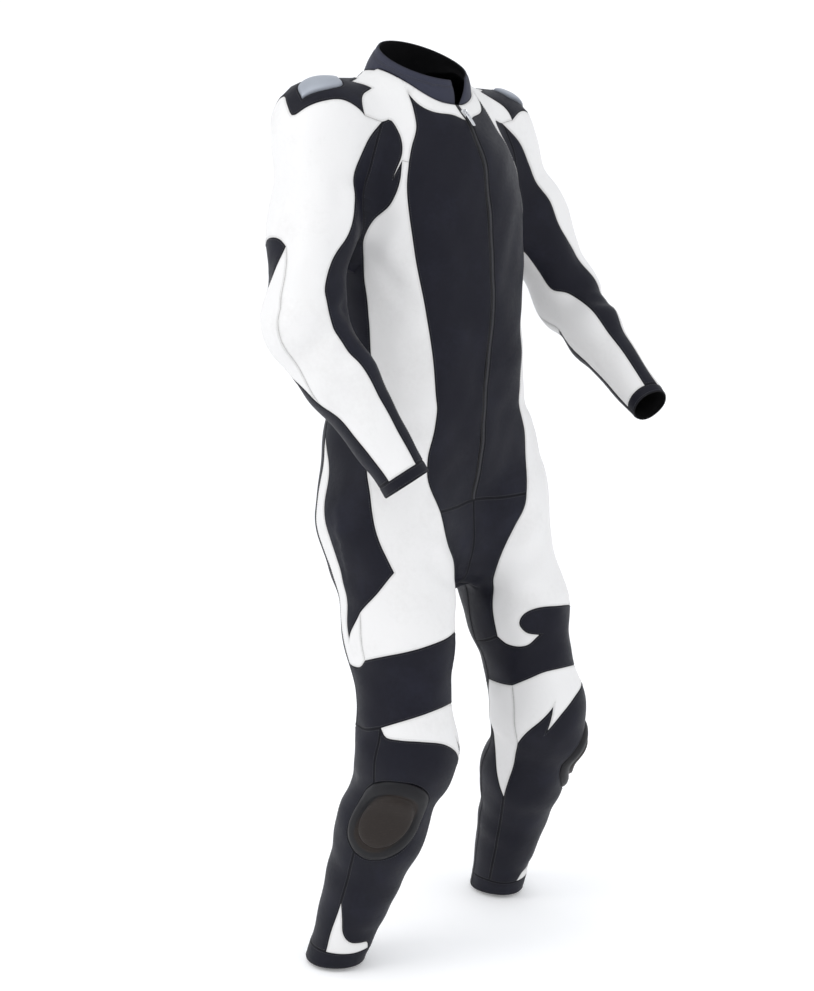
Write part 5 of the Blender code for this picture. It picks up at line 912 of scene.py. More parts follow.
def within(uv: Array, loops: list[Array]) -> Array:
    """Which places lie inside the outer loop and outside the others, by crossings counted."""
    inside = np.zeros(len(uv), bool)
    for loop in loops:
        (ax, ay), (bx, by) = loop.T, np.roll(loop, -1, axis=0).T
        crosses = (uv[:, 1:] < ay) != (uv[:, 1:] < by)
        at = ax + (bx - ax) * (uv[:, 1:] - ay) / np.where(by == ay, 1.0, by - ay)
        inside ^= (crosses & (uv[:, :1] < at)).sum(axis=1) % 2 == 1
    return inside


def loop_distance(places: Array, loops: list[Array]) -> Array:
    """How far places are from the nearest loop, in a flat map or in space."""
    best = np.full(len(places), FAR)
    for loop in loops:
        run = np.roll(loop, -1, axis=0) - loop
        away = places[:, None] - loop
        share = np.clip((away * run).sum(-1) / np.maximum((run * run).sum(-1), 1e-12), 0, 1)
        away -= share[..., None] * run
        best = np.minimum(best, np.sqrt((away * away).sum(-1)).min(axis=1))
    return best


def filling(loops: list[Array], step: float, clear: float) -> tuple[Array, Array]:
    """Evenly spread places inside a loop, on a triangular grid.

    Args:
        loops: The outer loop and those left open, in the flat map.
        step: Distance between places.
        clear: Least distance from a loop.

    Returns:
        The places, and how far each is from its nearest loop.
    """
    low, high = loops[0].min(axis=0), loops[0].max(axis=0)
    rows = np.arange(low[1] + step / 2, high[1], step * math.sqrt(3) / 2)
    columns = np.arange(low[0], high[0], step)
    shift = (np.arange(len(rows)) % 2) * step / 2
    grid = np.stack([columns[None] + shift[:, None], rows[:, None] + 0 * columns[None]],
                    axis=-1).reshape(-1, 2)
    grid = grid[within(grid, loops)]
    away = loop_distance(grid, loops)
    return grid[away > clear], away[away > clear]


def triangles(uv: Array, loops: list[Array]) -> Array:
    """Constrained Delaunay triangles over the loops and the places inside them."""
    start, edges = 0, []
    for loop in loops:
        count = len(loop)
        edges += [(start + i, start + (i + 1) % count) for i in range(count)]
        start += count
    inside = 1 if len(loops) == 1 else 2
    made = delaunay_2d_cdt([Vector(p) for p in uv], edges, [], inside, 1e-7)
    if len(made[0]) != len(uv):
        raise ValueError("two places fell together")
    return np.array(made[2], int)


def border_quads(faces: Array, count: int) -> Array:
    """Quads that join the open edges of a skin of count points to its copy, count points on."""
    corners = faces.shape[1]
    pairs = np.vstack([faces[:, (k, (k + 1) % corners)] for k in range(corners)])
    a, b = pairs[~np.isin(pairs @ (count, 1), pairs @ (1, count))].T
    return np.stack([b, a, a + count, b + count], axis=-1)


@dataclass
class Cloth:
    """A worked-out sheet: its outer and inner skins, its triangles and what each point knows."""

    outer: Array
    inner: Array
    faces: Array
    edge: Array
    uv: Array

    @property
    def area(self) -> float:
        """Area of the outer skin in square metres."""
        a, b, c = (self.outer[self.faces[:, i]] for i in range(3))
        return float(np.linalg.norm(np.cross(b - a, c - a), axis=1).sum() / 2)

    def cut(self) -> tuple[float, float]:
        """Width and length of the smallest rectangle that the flat pattern is cut from.

        A curved strip nests in the next one, so its width counts for no more than its area needs.
        """
        turns = np.radians(np.arange(0, 90, 3))[:, None]
        across, along = self.uv.T
        spans = np.stack([np.ptp(across * np.cos(turns) + along * np.sin(turns), axis=1),
                          np.ptp(along * np.cos(turns) - across * np.sin(turns), axis=1)])
        width, length = spans[:, np.argmin(spans.prod(axis=0))]
        width = min(width, self.area / (STRIP_FILL * length))
        grow = max(1.0, math.sqrt(self.area / (width * length)))
        return float(width * grow), float(length * grow)

    def closed(self) -> tuple[Array, Array, Array, Array]:
        """Vertices, triangles, quads round the borders, and which triangles face inwards."""
        count = len(self.outer)
        skins = np.vstack([self.faces, self.faces[:, ::-1] + count])
        inward = np.arange(len(skins)) >= len(self.faces)
        return (np.vstack([self.outer, self.inner]), skins, border_quads(self.faces, count),
                inward)


@dataclass
class Pattern:
    """The seams drawn on one side of the suit."""

    side: int
    chart: dict[str, Chart] = field(init=False)
    lines: dict[str, Array] = field(init=False)

    def __post_init__(self) -> None:
        """Place the nodes and draw every seam."""
        self.chart = charts(self.side)
        nodes: dict[str, Array] = {}
        for way, places in NODES.items():
            nodes.update(zip(places, self.chart[way].point(np.array([*places.values()], float))))
        self.lines = {name: self.seam(name, nodes) for name in SEAMS}

    def seam(self, name: str, nodes: dict[str, Array]) -> Array:
        """Points along a named seam, evenly spaced between its corners."""
        first, last, way, rows = SEAMS[name]
        here, ends = self.chart[way], (nodes[first], nodes[last])
        start, stop = [here.place(end[None])[0] for end in ends]
        if here.turning:
            start[0] = near_turn(start[0], rows[0][0] if rows else start[0])
            stop[0] = near_turn(stop[0], rows[-1][0] if rows else start[0])
        places = [tuple(start)] + [tuple(row[:2]) for row in rows] + [tuple(stop)]
        corners = [0] + [i + 1 for i, row in enumerate(rows) if len(row) > 2] + [len(places) - 1]
        line = []
        for i, j in zip(corners[:-1], corners[1:]):
            dense = flow(here.flat(np.array(places[i:j + 1], float)))
            run = along_line(here.point(here.unflat(dense)))
            count = max(1, math.ceil(run[-1] / SEAM_STEP - 0.25))
            even = np.interp(np.linspace(0, run[-1], count + 1), run, np.arange(len(dense)))
            flat = np.stack([np.interp(even, np.arange(len(dense)), dense[:, k]) for k in range(2)],
                            axis=-1)
            points = here.point(here.unflat(flat))
            points[0] = ends[0] if i == 0 else points[0]
            points[-1] = ends[1] if j == len(places) - 1 else points[-1]
            line.append(points if i == 0 else points[1:])
        return np.vstack(line)

    def loop(self, text: str) -> Array:
        """The closed loop of points along named seams; a minus runs one backwards."""
        lines = [self.lines[name[1:]][::-1] if name[0] == "-" else self.lines[name]
                 for name in text.split()]
        return np.vstack([line[:-1] for line in lines])


@dataclass
class Panel:
    """A leather panel: the area inside its first loop, less the others, thickened inwards."""

    chart: Chart
    loops: list[Array]
    about: float
    step: float = CLOTH_STEP
    row_clear: float = 0.8      # least share of its distance that a row's point keeps from borders
    grid_clear: float = 0.45    # clear steps between the last row and the grid
    merge: float = 0.0011       # row points in one square of this size are taken as one

    def __post_init__(self) -> None:
        """Lay the loops out flat and find which side of each the leather is on."""
        self.flat = [loop_places(self.chart, loop, self.about) for loop in self.loops]
        self.normal = [SUIT.normals(loop) for loop in self.loops]
        self.turn = [self.leather_side(k) * (1 if k == 0 else -1) for k in range(len(self.loops))]

    def leather_side(self, which: int) -> float:
        """+1 where the area inside a loop lies to its left seen from outside, else -1."""
        uv, ahead = self.flat[which], np.roll(self.flat[which], -1, axis=0)
        turned = np.sign(np.sum(uv[:, 0] * ahead[:, 1] - ahead[:, 0] * uv[:, 1]))
        k = len(uv) // 3
        corner = uv[k] + np.array([(0.0, 0.0), (1e-4, 0.0), (0.0, 1e-4)])
        a, b, c = self.chart.point(self.chart.unflat(corner))
        return float(turned * np.sign(np.cross(b - a, c - a) @ self.normal[which][k]))

    def row(self, which: int, distance: float) -> tuple[Array, Array, Array]:
        """A line that follows a loop's border inside the panel.

        Args:
            which: The loop it follows.
            distance: How far inside the border it runs.

        Returns:
            Its points on the surface, their flat places, and which are clear of every border.
        """
        moved = inset(self.loops[which], self.normal[which], self.turn[which], distance)
        place = loop_places(self.chart, moved, self.about)
        clear = (within(place, self.flat)
                 & (loop_distance(moved, self.loops) > self.row_clear * distance))
        return SUIT.settle(moved), place, clear

    def cloth(self) -> Cloth:
        """Work the panel out: its edge turns down by EDGE_ROLL * exp(-(distance / soft)^2)."""
        rows = [(*self.row(which, distance), distance) for distance in EDGE_ROWS
                for which in range(len(self.loops))]
        ring = np.vstack([moved[clear] for moved, _, clear, _ in rows])
        free = np.vstack([place[clear] for _, place, clear, _ in rows])
        away = np.concatenate([np.full(clear.sum(), distance) for _, _, clear, distance in rows])
        _, first = np.unique(np.round(free / self.merge), axis=0, return_index=True)
        ring, free, away = (rows[np.sort(first)] for rows in (ring, free, away))
        grid, deep = filling(self.flat, self.step, EDGE_ROWS[-1] + self.grid_clear * self.step)
        points = np.vstack([ring, self.chart.point(self.chart.unflat(grid))])
        free, away = np.vstack([free, grid]), np.concatenate([away, deep])
        uv = np.vstack(self.flat + [free])
        faces = triangles(uv, self.flat)
        facing = np.vstack(self.normal + [SUIT.normals(points)])
        seam, lean = ([inset(loop, normal, turn, SEAM_GAP / 2 + more) for loop, normal, turn
                       in zip(self.loops, self.normal, self.turn)] for more in (0.0, SEAM_LEAN))
        edge_all = np.concatenate([np.zeros(len(uv) - len(free)), away])
        rise = SUIT.relief(np.vstack(self.loops + [points]))[:, None]
        roll = EDGE_ROLL * np.exp(-(edge_all / EDGE_SOFT) ** 2)[:, None]
        outer = np.vstack(seam + [points])
        middle = outer[faces]
        way = np.cross(middle[:, 1] - middle[:, 0], middle[:, 2] - middle[:, 0])
        if (way * facing[faces[:, 0]]).sum() < 0:
            faces = faces[:, ::-1]
        return Cloth(outer + facing * (rise - roll),
                     np.vstack(lean + [points]) + facing * (rise - LEATHER), faces, edge_all, uv)

    def stitch_row(self, which: int, distance: float, pitch: float) -> tuple[Array, Array, Array]:
        """Where stitches lie along a border.

        Args:
            which: The loop they follow.
            distance: How far inside the border.
            pitch: Distance from one stitch to the next.

        Returns:
            Their middles, the way each runs, and the way out of the leather.
        """
        line, _, clear = self.row(which, distance)
        ring, kept = np.vstack([line, line[:1]]), np.r_[clear, clear[:1]].astype(float)
        run = along_line(ring)
        where = np.arange(pitch / 2, run[-1], pitch)
        middle = resample(ring, where)
        ahead = unit(resample(ring, np.minimum(where + LOOK_AHEAD, run[-1]))
                     - resample(ring, where - LOOK_AHEAD))
        keep = np.interp(where, run, kept) > 0.99
        middle, ahead = middle[keep], ahead[keep]
        out = SUIT.normals(middle)
        return middle + out * SUIT.relief(middle)[:, None], ahead, out


# ---------------------------------------------------------------- shader building
class Signal:
    """A shader value: expressions written on it add Math nodes."""

    def __init__(self, shader: "Shader", socket: bpy.types.NodeSocket) -> None:
        """Wrap a socket of a shader's tree."""
        self.shader, self.socket = shader, socket

    def math(self, operation: str, *values: Any, clamp: bool = False) -> "Signal":
        """The result of a Math node on the values given."""
        return self.shader.node("Math", {"operation": operation, "use_clamp": clamp},
                                dict(enumerate(values)))

    def __add__(self, other: Any) -> "Signal":
        """Sum."""
        return self.math("ADD", self, other)

    def __sub__(self, other: Any) -> "Signal":
        """Difference."""
        return self.math("SUBTRACT", self, other)

    def __rsub__(self, other: Any) -> "Signal":
        """Difference with the signal second."""
        return self.math("SUBTRACT", other, self)

    def __mul__(self, other: Any) -> "Signal":
        """Product."""
        return self.math("MULTIPLY", self, other)

    def __truediv__(self, other: Any) -> "Signal":
        """Quotient."""
        return self.math("DIVIDE", self, other)

    __radd__, __rmul__ = __add__, __mul__

    def held(self) -> "Signal":
        """The value held between 0 and 1."""
        return self.math("ADD", self, 0.0, clamp=True)


class Shader:
    """A material with one Principled surface, and the nodes that feed it."""

    def __init__(self, name: str) -> None:
        """Start an empty tree with its surface and output."""
        self.material = bpy.data.materials.new(name)
        self.material.use_nodes = True
        self.tree = self.material.node_tree
        self.surface = self.tree.nodes["Principled BSDF"]

    def node(self, kind: str, settings: dict[str, Any] | None = None,
             sockets: dict[Any, Any] | None = None, out: Any = 0) -> Signal:
        """Add a node.

        Args:
            kind: Its type, without ShaderNode.
            settings: Properties, set first; stops are a ramp's (place, value) pairs.
            sockets: Values or signals by socket name or number.
            out: The output that is wanted.

        Returns:
            That output.
        """
        made = self.tree.nodes.new("ShaderNode" + kind)
        for key, value in (settings or {}).items():
            if key == "stops":
                ramp = made.color_ramp.elements
                while len(ramp) < len(value):
                    ramp.new(0.5)
                for stop, (place, grey) in zip(ramp, value):
                    stop.position, stop.color = place, (grey, grey, grey, 1.0)
            else:
                setattr(made, key, value)
        for key, value in (sockets or {}).items():
            self.feed(made.inputs[key], value)
        return Signal(self, made.outputs[out])

    def feed(self, socket: bpy.types.NodeSocket, value: Any) -> None:
        """Link a signal to a socket, or set its value."""
        if isinstance(value, Signal):
            self.tree.links.new(value.socket, socket)
        else:
            socket.default_value = value

    def place(self) -> Signal:
        """Object coordinates."""
        return self.node("TexCoord", out="Object")

    def edge(self) -> Signal:
        """How far a point is from its piece's border, in metres."""
        return self.node("Attribute", {"attribute_name": "edge"}, {}, "Fac")

    def noise(self, where: Signal, scale: float, detail: float = 3.0, rough: float = 0.5) -> Signal:
        """Fractal noise about 0.5."""
        return self.node("TexNoise", {}, {"Vector": where, "Scale": scale, "Detail": detail,
                                          "Roughness": rough}, "Fac")

    def cells(self, where: Signal, scale: float, feature: str = "F1") -> Signal:
        """Distance to the nearest cell's middle, or to its edge."""
        return self.node("TexVoronoi", {"feature": feature}, {"Vector": where, "Scale": scale},
                         "Distance")

    def stretched(self, where: Signal, scale: tuple[float, float, float]) -> Signal:
        """Coordinates scaled along each axis."""
        return self.node("Mapping", {}, {"Vector": where, "Scale": scale})

    def mix(self, share: Any, first: Any, second: Any) -> Signal:
        """Colour mixed from first to second by a share."""
        return self.node("Mix", {"data_type": "RGBA"}, {0: share, 6: first, 7: second}, 2)

    def bump(self, height: Signal, depth: float, strength: float = 1.0) -> None:
        """Relief of a height from 0 to 1 over a depth in metres."""
        self.feed(self.surface.inputs["Normal"], self.node(
            "Bump", {}, {"Height": height, "Distance": depth, "Strength": strength}, "Normal"))

    def finish(self, **values: Any) -> bpy.types.Material:
        """Feed the surface's sockets, named with _ for a space, and return the material."""
        for key, value in values.items():
            self.feed(self.surface.inputs[key.replace("_", " ")], value)
        return self.material


def rgba(colour: Sequence[float], by: float = 1.0) -> tuple[float, float, float, float]:
    """A linear colour, lightened or darkened, with full alpha."""
    return (*(min(1.0, c * by) for c in colour), 1.0)


# ---------------------------------------------------------------- finishes
@dataclass(frozen=True)
class Leather:
    """Dyed cowhide: pebbled grain, faint mottling towards a worn tone that is partly painted sheen
    and shade, and dust with painted shade along seams.
    """

    name: str
    colour: tuple[float, float, float]
    # worn: wear tone, partly painted sheen (black) and painted shade (white); seam: dust and
    # painted seam shade.
    worn: tuple[float, float, float]
    seam: tuple[float, float, float]
    roughness: float
    shine: float
    pebble: float = 760.0
    depth: float = 0.00016

    def material(self) -> bpy.types.Material:
        """Grain = cells and noise; colour = base mixed by noise towards the worn tone (wear, partly
        painted sheen on black and painted shade on white), darker near seams (dust and painted seam
        shade).
        """
        s = Shader(self.name)
        here = s.place()
        pebbles = s.cells(here, self.pebble)
        broad, fine = s.noise(here, 14.0, 2.0), s.noise(here, 1900.0, 2.0)
        soft = s.noise(here, 150.0, 4.0, 0.55)
        edge = s.edge()
        near = (1.0 - edge / 0.0042).held()
        # Noise mottle towards the worn tone: wear, partly painted sheen on the black and painted
        # fold shade on the white.
        wear_and_painted_light_mottle = ((broad - 0.50) * 1.7 + (soft - 0.5) * 0.9).held()
        body = s.mix(wear_and_painted_light_mottle, rgba(self.colour), rgba(self.worn))
        # Darker towards each border: dust plus painted shade in the seam groove.
        body = s.mix((near * near * (0.35 + soft)).held(), body, rgba(self.seam))
        s.bump(pebbles * 0.55 + fine * 0.15 + soft * 1.5 + broad * 2.0, self.depth, 0.85)
        rough = self.roughness + (soft - 0.5) * 0.22 + (pebbles - 0.4) * 0.10 + near * 0.08
        return s.finish(Base_Color=body, Roughness=rough, Specular_IOR_Level=self.shine)


@dataclass(frozen=True)
class Lining:
    """Black mesh lining inside the suit."""

    name: str = "mesh_lining"

    def material(self) -> bpy.types.Material:
        """A fine woven relief in matt black."""
        s = Shader(self.name)
        here = s.place()
        weave = s.cells(here, 520.0, "DISTANCE_TO_EDGE")
        tone = s.mix(s.noise(here, 30.0), rgba((0.0035, 0.0035, 0.004)),
                     rgba((0.007, 0.007, 0.008)))
        s.bump((weave * 3.0).held(), 0.0003, 0.6)
        return s.finish(Base_Color=tone, Roughness=0.85 + (weave * 0.1), Specular_IOR_Level=0.15)


@dataclass(frozen=True)
class Thread:
    """Bonded sewing thread: a twist shows as slanting bands."""

    name: str
    colour: tuple[float, float, float]

    def material(self) -> bpy.types.Material:
        """Bands across slanted coordinates, and a tone that drifts along the seam."""
        s = Shader(self.name)
        here = s.place()
        twist = s.node("TexWave", {"bands_direction": "DIAGONAL"},
                       {"Vector": here, "Scale": 1600.0, "Distortion": 1.0}, "Fac")
        tone = s.mix(s.noise(here, 60.0), rgba(self.colour, 0.82), rgba(self.colour, 1.12))
        s.bump(twist, 0.0001, 0.6)
        return s.finish(Base_Color=tone, Roughness=0.55 + (twist * 0.1))


@dataclass(frozen=True)
class Metal:
    """Cast or pressed metal with fine scratches."""

    name: str
    colour: tuple[float, float, float]
    roughness: float
    scratch: tuple[float, float, float] = (900.0, 60.0, 900.0)

    def material(self) -> bpy.types.Material:
        """Roughness and relief from noise stretched one way, with handled patches."""
        s = Shader(self.name)
        here = s.place()
        lines = s.noise(s.stretched(here, self.scratch), 1.0, 3.0)
        patch = s.noise(here, 220.0, 2.0)
        tone = s.mix((patch * 0.8).held(), rgba(self.colour), rgba(self.colour, 0.74))
        s.bump(lines + patch, 0.00004, 0.5)
        return s.finish(Base_Color=tone, Roughness=self.roughness + (lines - 0.5) * 0.18,
                        Metallic=1.0)


@dataclass(frozen=True)
class Armour:
    """Satin metallic shell of the shoulder cups: painted, brushed, dull at its rim."""

    name: str = "shoulder_armour"

    def material(self) -> bpy.types.Material:
        """Fine brushing along the shoulder, and a rim that the edge attribute darkens."""
        s = Shader(self.name)
        here = s.place()
        brush = s.noise(s.stretched(here, (90.0, 900.0, 900.0)), 1.0, 2.0)
        cloud = s.noise(here, 26.0, 2.0)
        edge = s.edge()
        rim = (1.0 - edge / 0.006).held()
        tone = s.mix(cloud, rgba((0.30, 0.325, 0.37)), rgba((0.36, 0.385, 0.43)))
        tone = s.mix((rim * rim * 0.8).held(), tone, rgba((0.10, 0.11, 0.13)))
        s.bump(brush + cloud * 2.0, 0.00006, 0.5)
        return s.finish(Base_Color=tone, Roughness=0.46 + (brush - 0.5) * 0.16 + rim * 0.1,
                        Metallic=0.35, Coat_Weight=0.1, Coat_Roughness=0.3)


@dataclass(frozen=True)
class Puck:
    """Hard nylon of the knee sliders: moulded, scuffed on its crown."""

    name: str = "knee_slider_nylon"

    def material(self) -> bpy.types.Material:
        """Pale scuffs on the crown along the road's way, fine moulded texture elsewhere."""
        s = Shader(self.name)
        here = s.place()
        edge = s.edge()
        crown = ((edge - 0.0165) / 0.0040).held()
        scuff = s.noise(s.stretched(here, (90.0, 90.0, 700.0)), 1.0, 4.0, 0.6)
        grain = s.noise(here, 1500.0, 2.0)
        worn = (((scuff - 0.55) * 4.0).held() * crown * 0.6).held()
        plain = s.mix(crown, rgba((0.0070, 0.0068, 0.0085)), rgba((0.0170, 0.0122, 0.0100)))
        tone = s.mix(worn, plain, rgba((0.045, 0.035, 0.031)))
        s.bump(grain * 0.6 + scuff * crown, 0.00012, 0.7)
        return s.finish(Base_Color=tone, Roughness=0.50 + (scuff - 0.5) * 0.25,
                        Specular_IOR_Level=0.22)


@dataclass(frozen=True)
class Webbing:
    """Woven zip tape."""

    name: str = "zip_tape"

    def material(self) -> bpy.types.Material:
        """Warp and weft as two waves multiplied."""
        s = Shader(self.name)
        here = s.place()
        warp, weft = (s.node("TexWave", {"bands_direction": way},
                             {"Vector": here, "Scale": 420.0}, "Fac") for way in ("X", "Z"))
        weave = warp * weft
        tone = s.mix(weave, rgba((0.008, 0.008, 0.009)), rgba((0.026, 0.026, 0.029)))
        s.bump(weave, 0.0002, 0.7)
        return s.finish(Base_Color=tone, Roughness=0.75 + weave * 0.1)


@dataclass(frozen=True)
class Paper:
    """Plain pale studio floor."""

    name: str = "studio_floor"

    def material(self) -> bpy.types.Material:
        """Matt white with a trace of tone."""
        s = Shader(self.name)
        tone = s.mix(s.noise(s.place(), 2.0), rgba((0.965, 0.965, 0.97)), rgba((0.98, 0.98, 0.985)))
        return s.finish(Base_Color=tone, Roughness=0.95, Specular_IOR_Level=0.1,
                        Emission_Color=(1.0, 1.0, 1.0, 1.0), Emission_Strength=0.16)


BLACK, WHITE = "black", "white"
# Per leather: base colour; worn tone (wear, partly painted sheen on the black, painted shade on the
# white); seam colour (dust and painted seam shade); roughness; shine.
LEATHERS = {
    BLACK: Leather("black_leather", (0.0062, 0.0064, 0.0120), (0.0140, 0.0148, 0.0260),
                   (0.0040, 0.0040, 0.0055), 0.50, 0.15),
    WHITE: Leather("white_leather", (0.735, 0.728, 0.722), (0.660, 0.650, 0.640),
                   (0.520, 0.510, 0.500), 0.48, 0.34),
    "collar": Leather("collar_leather", (0.028, 0.030, 0.048), (0.040, 0.042, 0.062),
                      (0.010, 0.010, 0.016), 0.58, 0.20),
}
SLOTS = {BLACK: "black_leather", WHITE: "white_leather"}
THREADS = {BLACK: Thread("black_thread", (0.030, 0.029, 0.033)),
           WHITE: Thread("white_thread", (0.66, 0.66, 0.65))}


# ---------------------------------------------------------------- putting pieces in the scene
def placed(name: str, data: Any) -> bpy.types.Object:
    """A new object in the scene."""
    made = bpy.data.objects.new(name, data)
    bpy.context.scene.collection.objects.link(made)
    return made


class Rides(Enum):
    """The bodies that a piece can ride on."""

    SUIT = "suit"
    TAB = "pull_tab"


class Workshop:
    """Makes each material once, and puts finished meshes into the scene."""

    def __init__(self) -> None:
        """Nothing made yet."""
        self.made: dict[str, bpy.types.Material] = {}
        self.count = 0

    def material(self, finish: Any) -> bpy.types.Material:
        """The material of a finish."""
        if finish.name not in self.made:
            self.made[finish.name] = finish.material()
        return self.made[finish.name]

    def add(self, name: str, verts: Array, faces: Iterable[Array], finishes: Sequence[Any],
            slot: str, replaces: Sequence[str] = (), inward: Array | None = None,
            edge: Array | None = None, rides: Rides = Rides.SUIT,
            sharp: float = 42.0) -> bpy.types.Object:
        """Put a piece in the scene.

        Args:
            name: The piece's name.
            verts: Its points.
            faces: Arrays of faces, one array for each number of corners.
            finishes: Its outer finish, and the finish of faces that look inwards.
            slot: Not used.
            replaces: CAD nodes that it stands for.
            inward: Which faces look inwards.
            edge: For each point, how far it is from a border.
            rides: The body that it rides on.
            sharp: Angle in degrees over which an edge stays crisp.

        Returns:
            The object.
        """
        mesh = bpy.data.meshes.new(name)
        rows = [row for group in faces for row in np.asarray(group).tolist()]
        mesh.from_pydata(np.asarray(verts).tolist(), [], rows)
        for finish in finishes:
            mesh.materials.append(self.material(finish))
        if inward is not None:
            mesh.polygons.foreach_set("material_index", inward.astype(np.int32))
        if edge is not None:
            mesh.attributes.new("edge", "FLOAT", "POINT").data.foreach_set(
                "value", edge.astype(np.float32))
        mesh.polygons.foreach_set("use_smooth", np.ones(len(rows), bool))
        mesh.set_sharp_from_angle(angle=math.radians(sharp))
        mesh.update()
        made = placed(name, mesh)
        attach(made, rides.value)
        if replaces:
            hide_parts(*replaces)
        self.count += 1
        LOG.info("%s: %d points, %d faces", name, len(verts), len(rows))
        return made


def repeated(points: Array, faces: Sequence[Array], at: Array,
             axes: Array) -> tuple[Array, list[Array]]:
    """Copies of one small shape: copy k of point p is at[k] + p @ axes[k].

    Args:
        points: The shape's points.
        faces: Its faces, one array for each number of corners.
        at: Where each copy is.
        axes: Each copy's own three directions, as rows.

    Returns:
        All points, and all faces.
    """
    verts = (at[:, None] + np.einsum("pk,nkc->npc", points, axes)).reshape(-1, 3)
    start = (np.arange(len(at)) * len(points))[:, None, None]
    return verts, [(group[None] + start).reshape(-1, group.shape[1]) for group in faces]


def tube_faces(rings: int, count: int, closed: bool = True) -> Array:
    """Quads between rings of count points that follow each other."""
    ring, i = np.meshgrid(np.arange(rings - 1), np.arange(count if closed else count - 1),
                          indexing="ij")
    a, b = ring * count + i, ring * count + (i + 1) % count
    return np.stack([a, b, b + count, a + count], axis=-1).reshape(-1, 4)


def facing(verts: Array, faces: list[Array], normal: Array) -> list[Array]:
    """The faces, turned round where the first one looks against the normal given."""
    a, b, c = verts[faces[0][0][:3]]
    return faces if np.cross(b - a, c - a) @ normal > 0 else [group[:, ::-1] for group in faces]


@dataclass
class Stitch:
    """A lock stitch that lies in the leather: a short spindle, its ends sunk."""

    length: float = 0.0027
    half: float = 0.00034
    pitch: float = 0.0036
    inset: float = 0.0026

    def shape(self) -> tuple[Array, list[Array]]:
        """Two rings of four points between two sunk ends."""
        ring = np.array([(0, 1), (1, 0), (0, -1), (-1, 0)], float) * (self.half, self.half)
        tip, near = self.length / 2, self.length * 0.30
        points = [(-tip, 0.0, -self.half)]
        for where in (-near, near):
            points += [(where, x, self.half * 0.45 + h) for x, h in ring]
        points.append((tip, 0.0, -self.half))
        i = np.arange(4)
        j = (i + 1) % 4
        caps = np.vstack([np.stack([0 * i, 1 + j, 1 + i], -1),
                          np.stack([9 + 0 * i, 5 + i, 5 + j], -1)])
        return np.array(points), [caps, np.stack([1 + i, 1 + j, 5 + j, 5 + i], -1)]


# ---------------------------------------------------------------- leather
@dataclass
class LeatherSide:
    """Every leather panel of one side, with its topstitching and its hard cups."""

    shop: Workshop
    pattern: Pattern
    stitch: Stitch = field(default_factory=Stitch)

    def __post_init__(self) -> None:
        """The side's letter."""
        self.letter = "r" if self.pattern.side < 0 else "l"

    def build(self) -> None:
        """Cut, place and topstitch every panel, then set the cups in."""
        rows: dict[str, list] = {BLACK: [], WHITE: []}
        for name, (way, about, text, holes, colour) in PIECES.items():
            loops = [self.pattern.loop(row) for row in (text, holes) if row]
            panel = Panel(self.pattern.chart[way], loops, about)
            dress(self.shop, f"{name}_{self.letter}", panel.cloth(), colour)
            rows[colour] += [panel.stitch_row(k, self.stitch.inset, self.stitch.pitch)
                             for k in range(len(loops))]
        for colour, found in rows.items():
            sew(self.shop, f"stitching_{colour}_{self.letter}", found, self.stitch, colour)
        for boss in BOSSES:
            boss.build(self.shop, self.pattern, self.letter)


def dress(shop: Workshop, node: str, cloth: Cloth, colour: str) -> bpy.types.Object:
    """Put a leather panel in its node's place."""
    verts, skins, quads, inward = cloth.closed()
    made = shop.add("leather_" + node, verts, [skins, quads], (LEATHERS[colour], LINING),
                    SLOTS[colour], [node], np.r_[inward, np.ones(len(quads), bool)],
                    np.r_[cloth.edge, cloth.edge])
    cloth.cut()
    cloth.area
    return made


def sew(shop: Workshop, name: str, rows: list[tuple[Array, Array, Array]], stitch: Stitch,
        colour: str) -> bpy.types.Object:
    """Lay one object of stitches along rows of (middle, way, way out)."""
    at, ahead, out = (np.vstack([row[k] for row in rows]) for k in range(3))
    out = unit(out - ahead * (out * ahead).sum(-1, keepdims=True))
    axes = np.stack([ahead, np.cross(out, ahead), out], axis=1)
    points, faces = stitch.shape()
    verts, groups = repeated(points, faces, at, axes)
    return shop.add(name, verts, groups, (THREADS[colour],), SLOTS[colour], sharp=80.0)


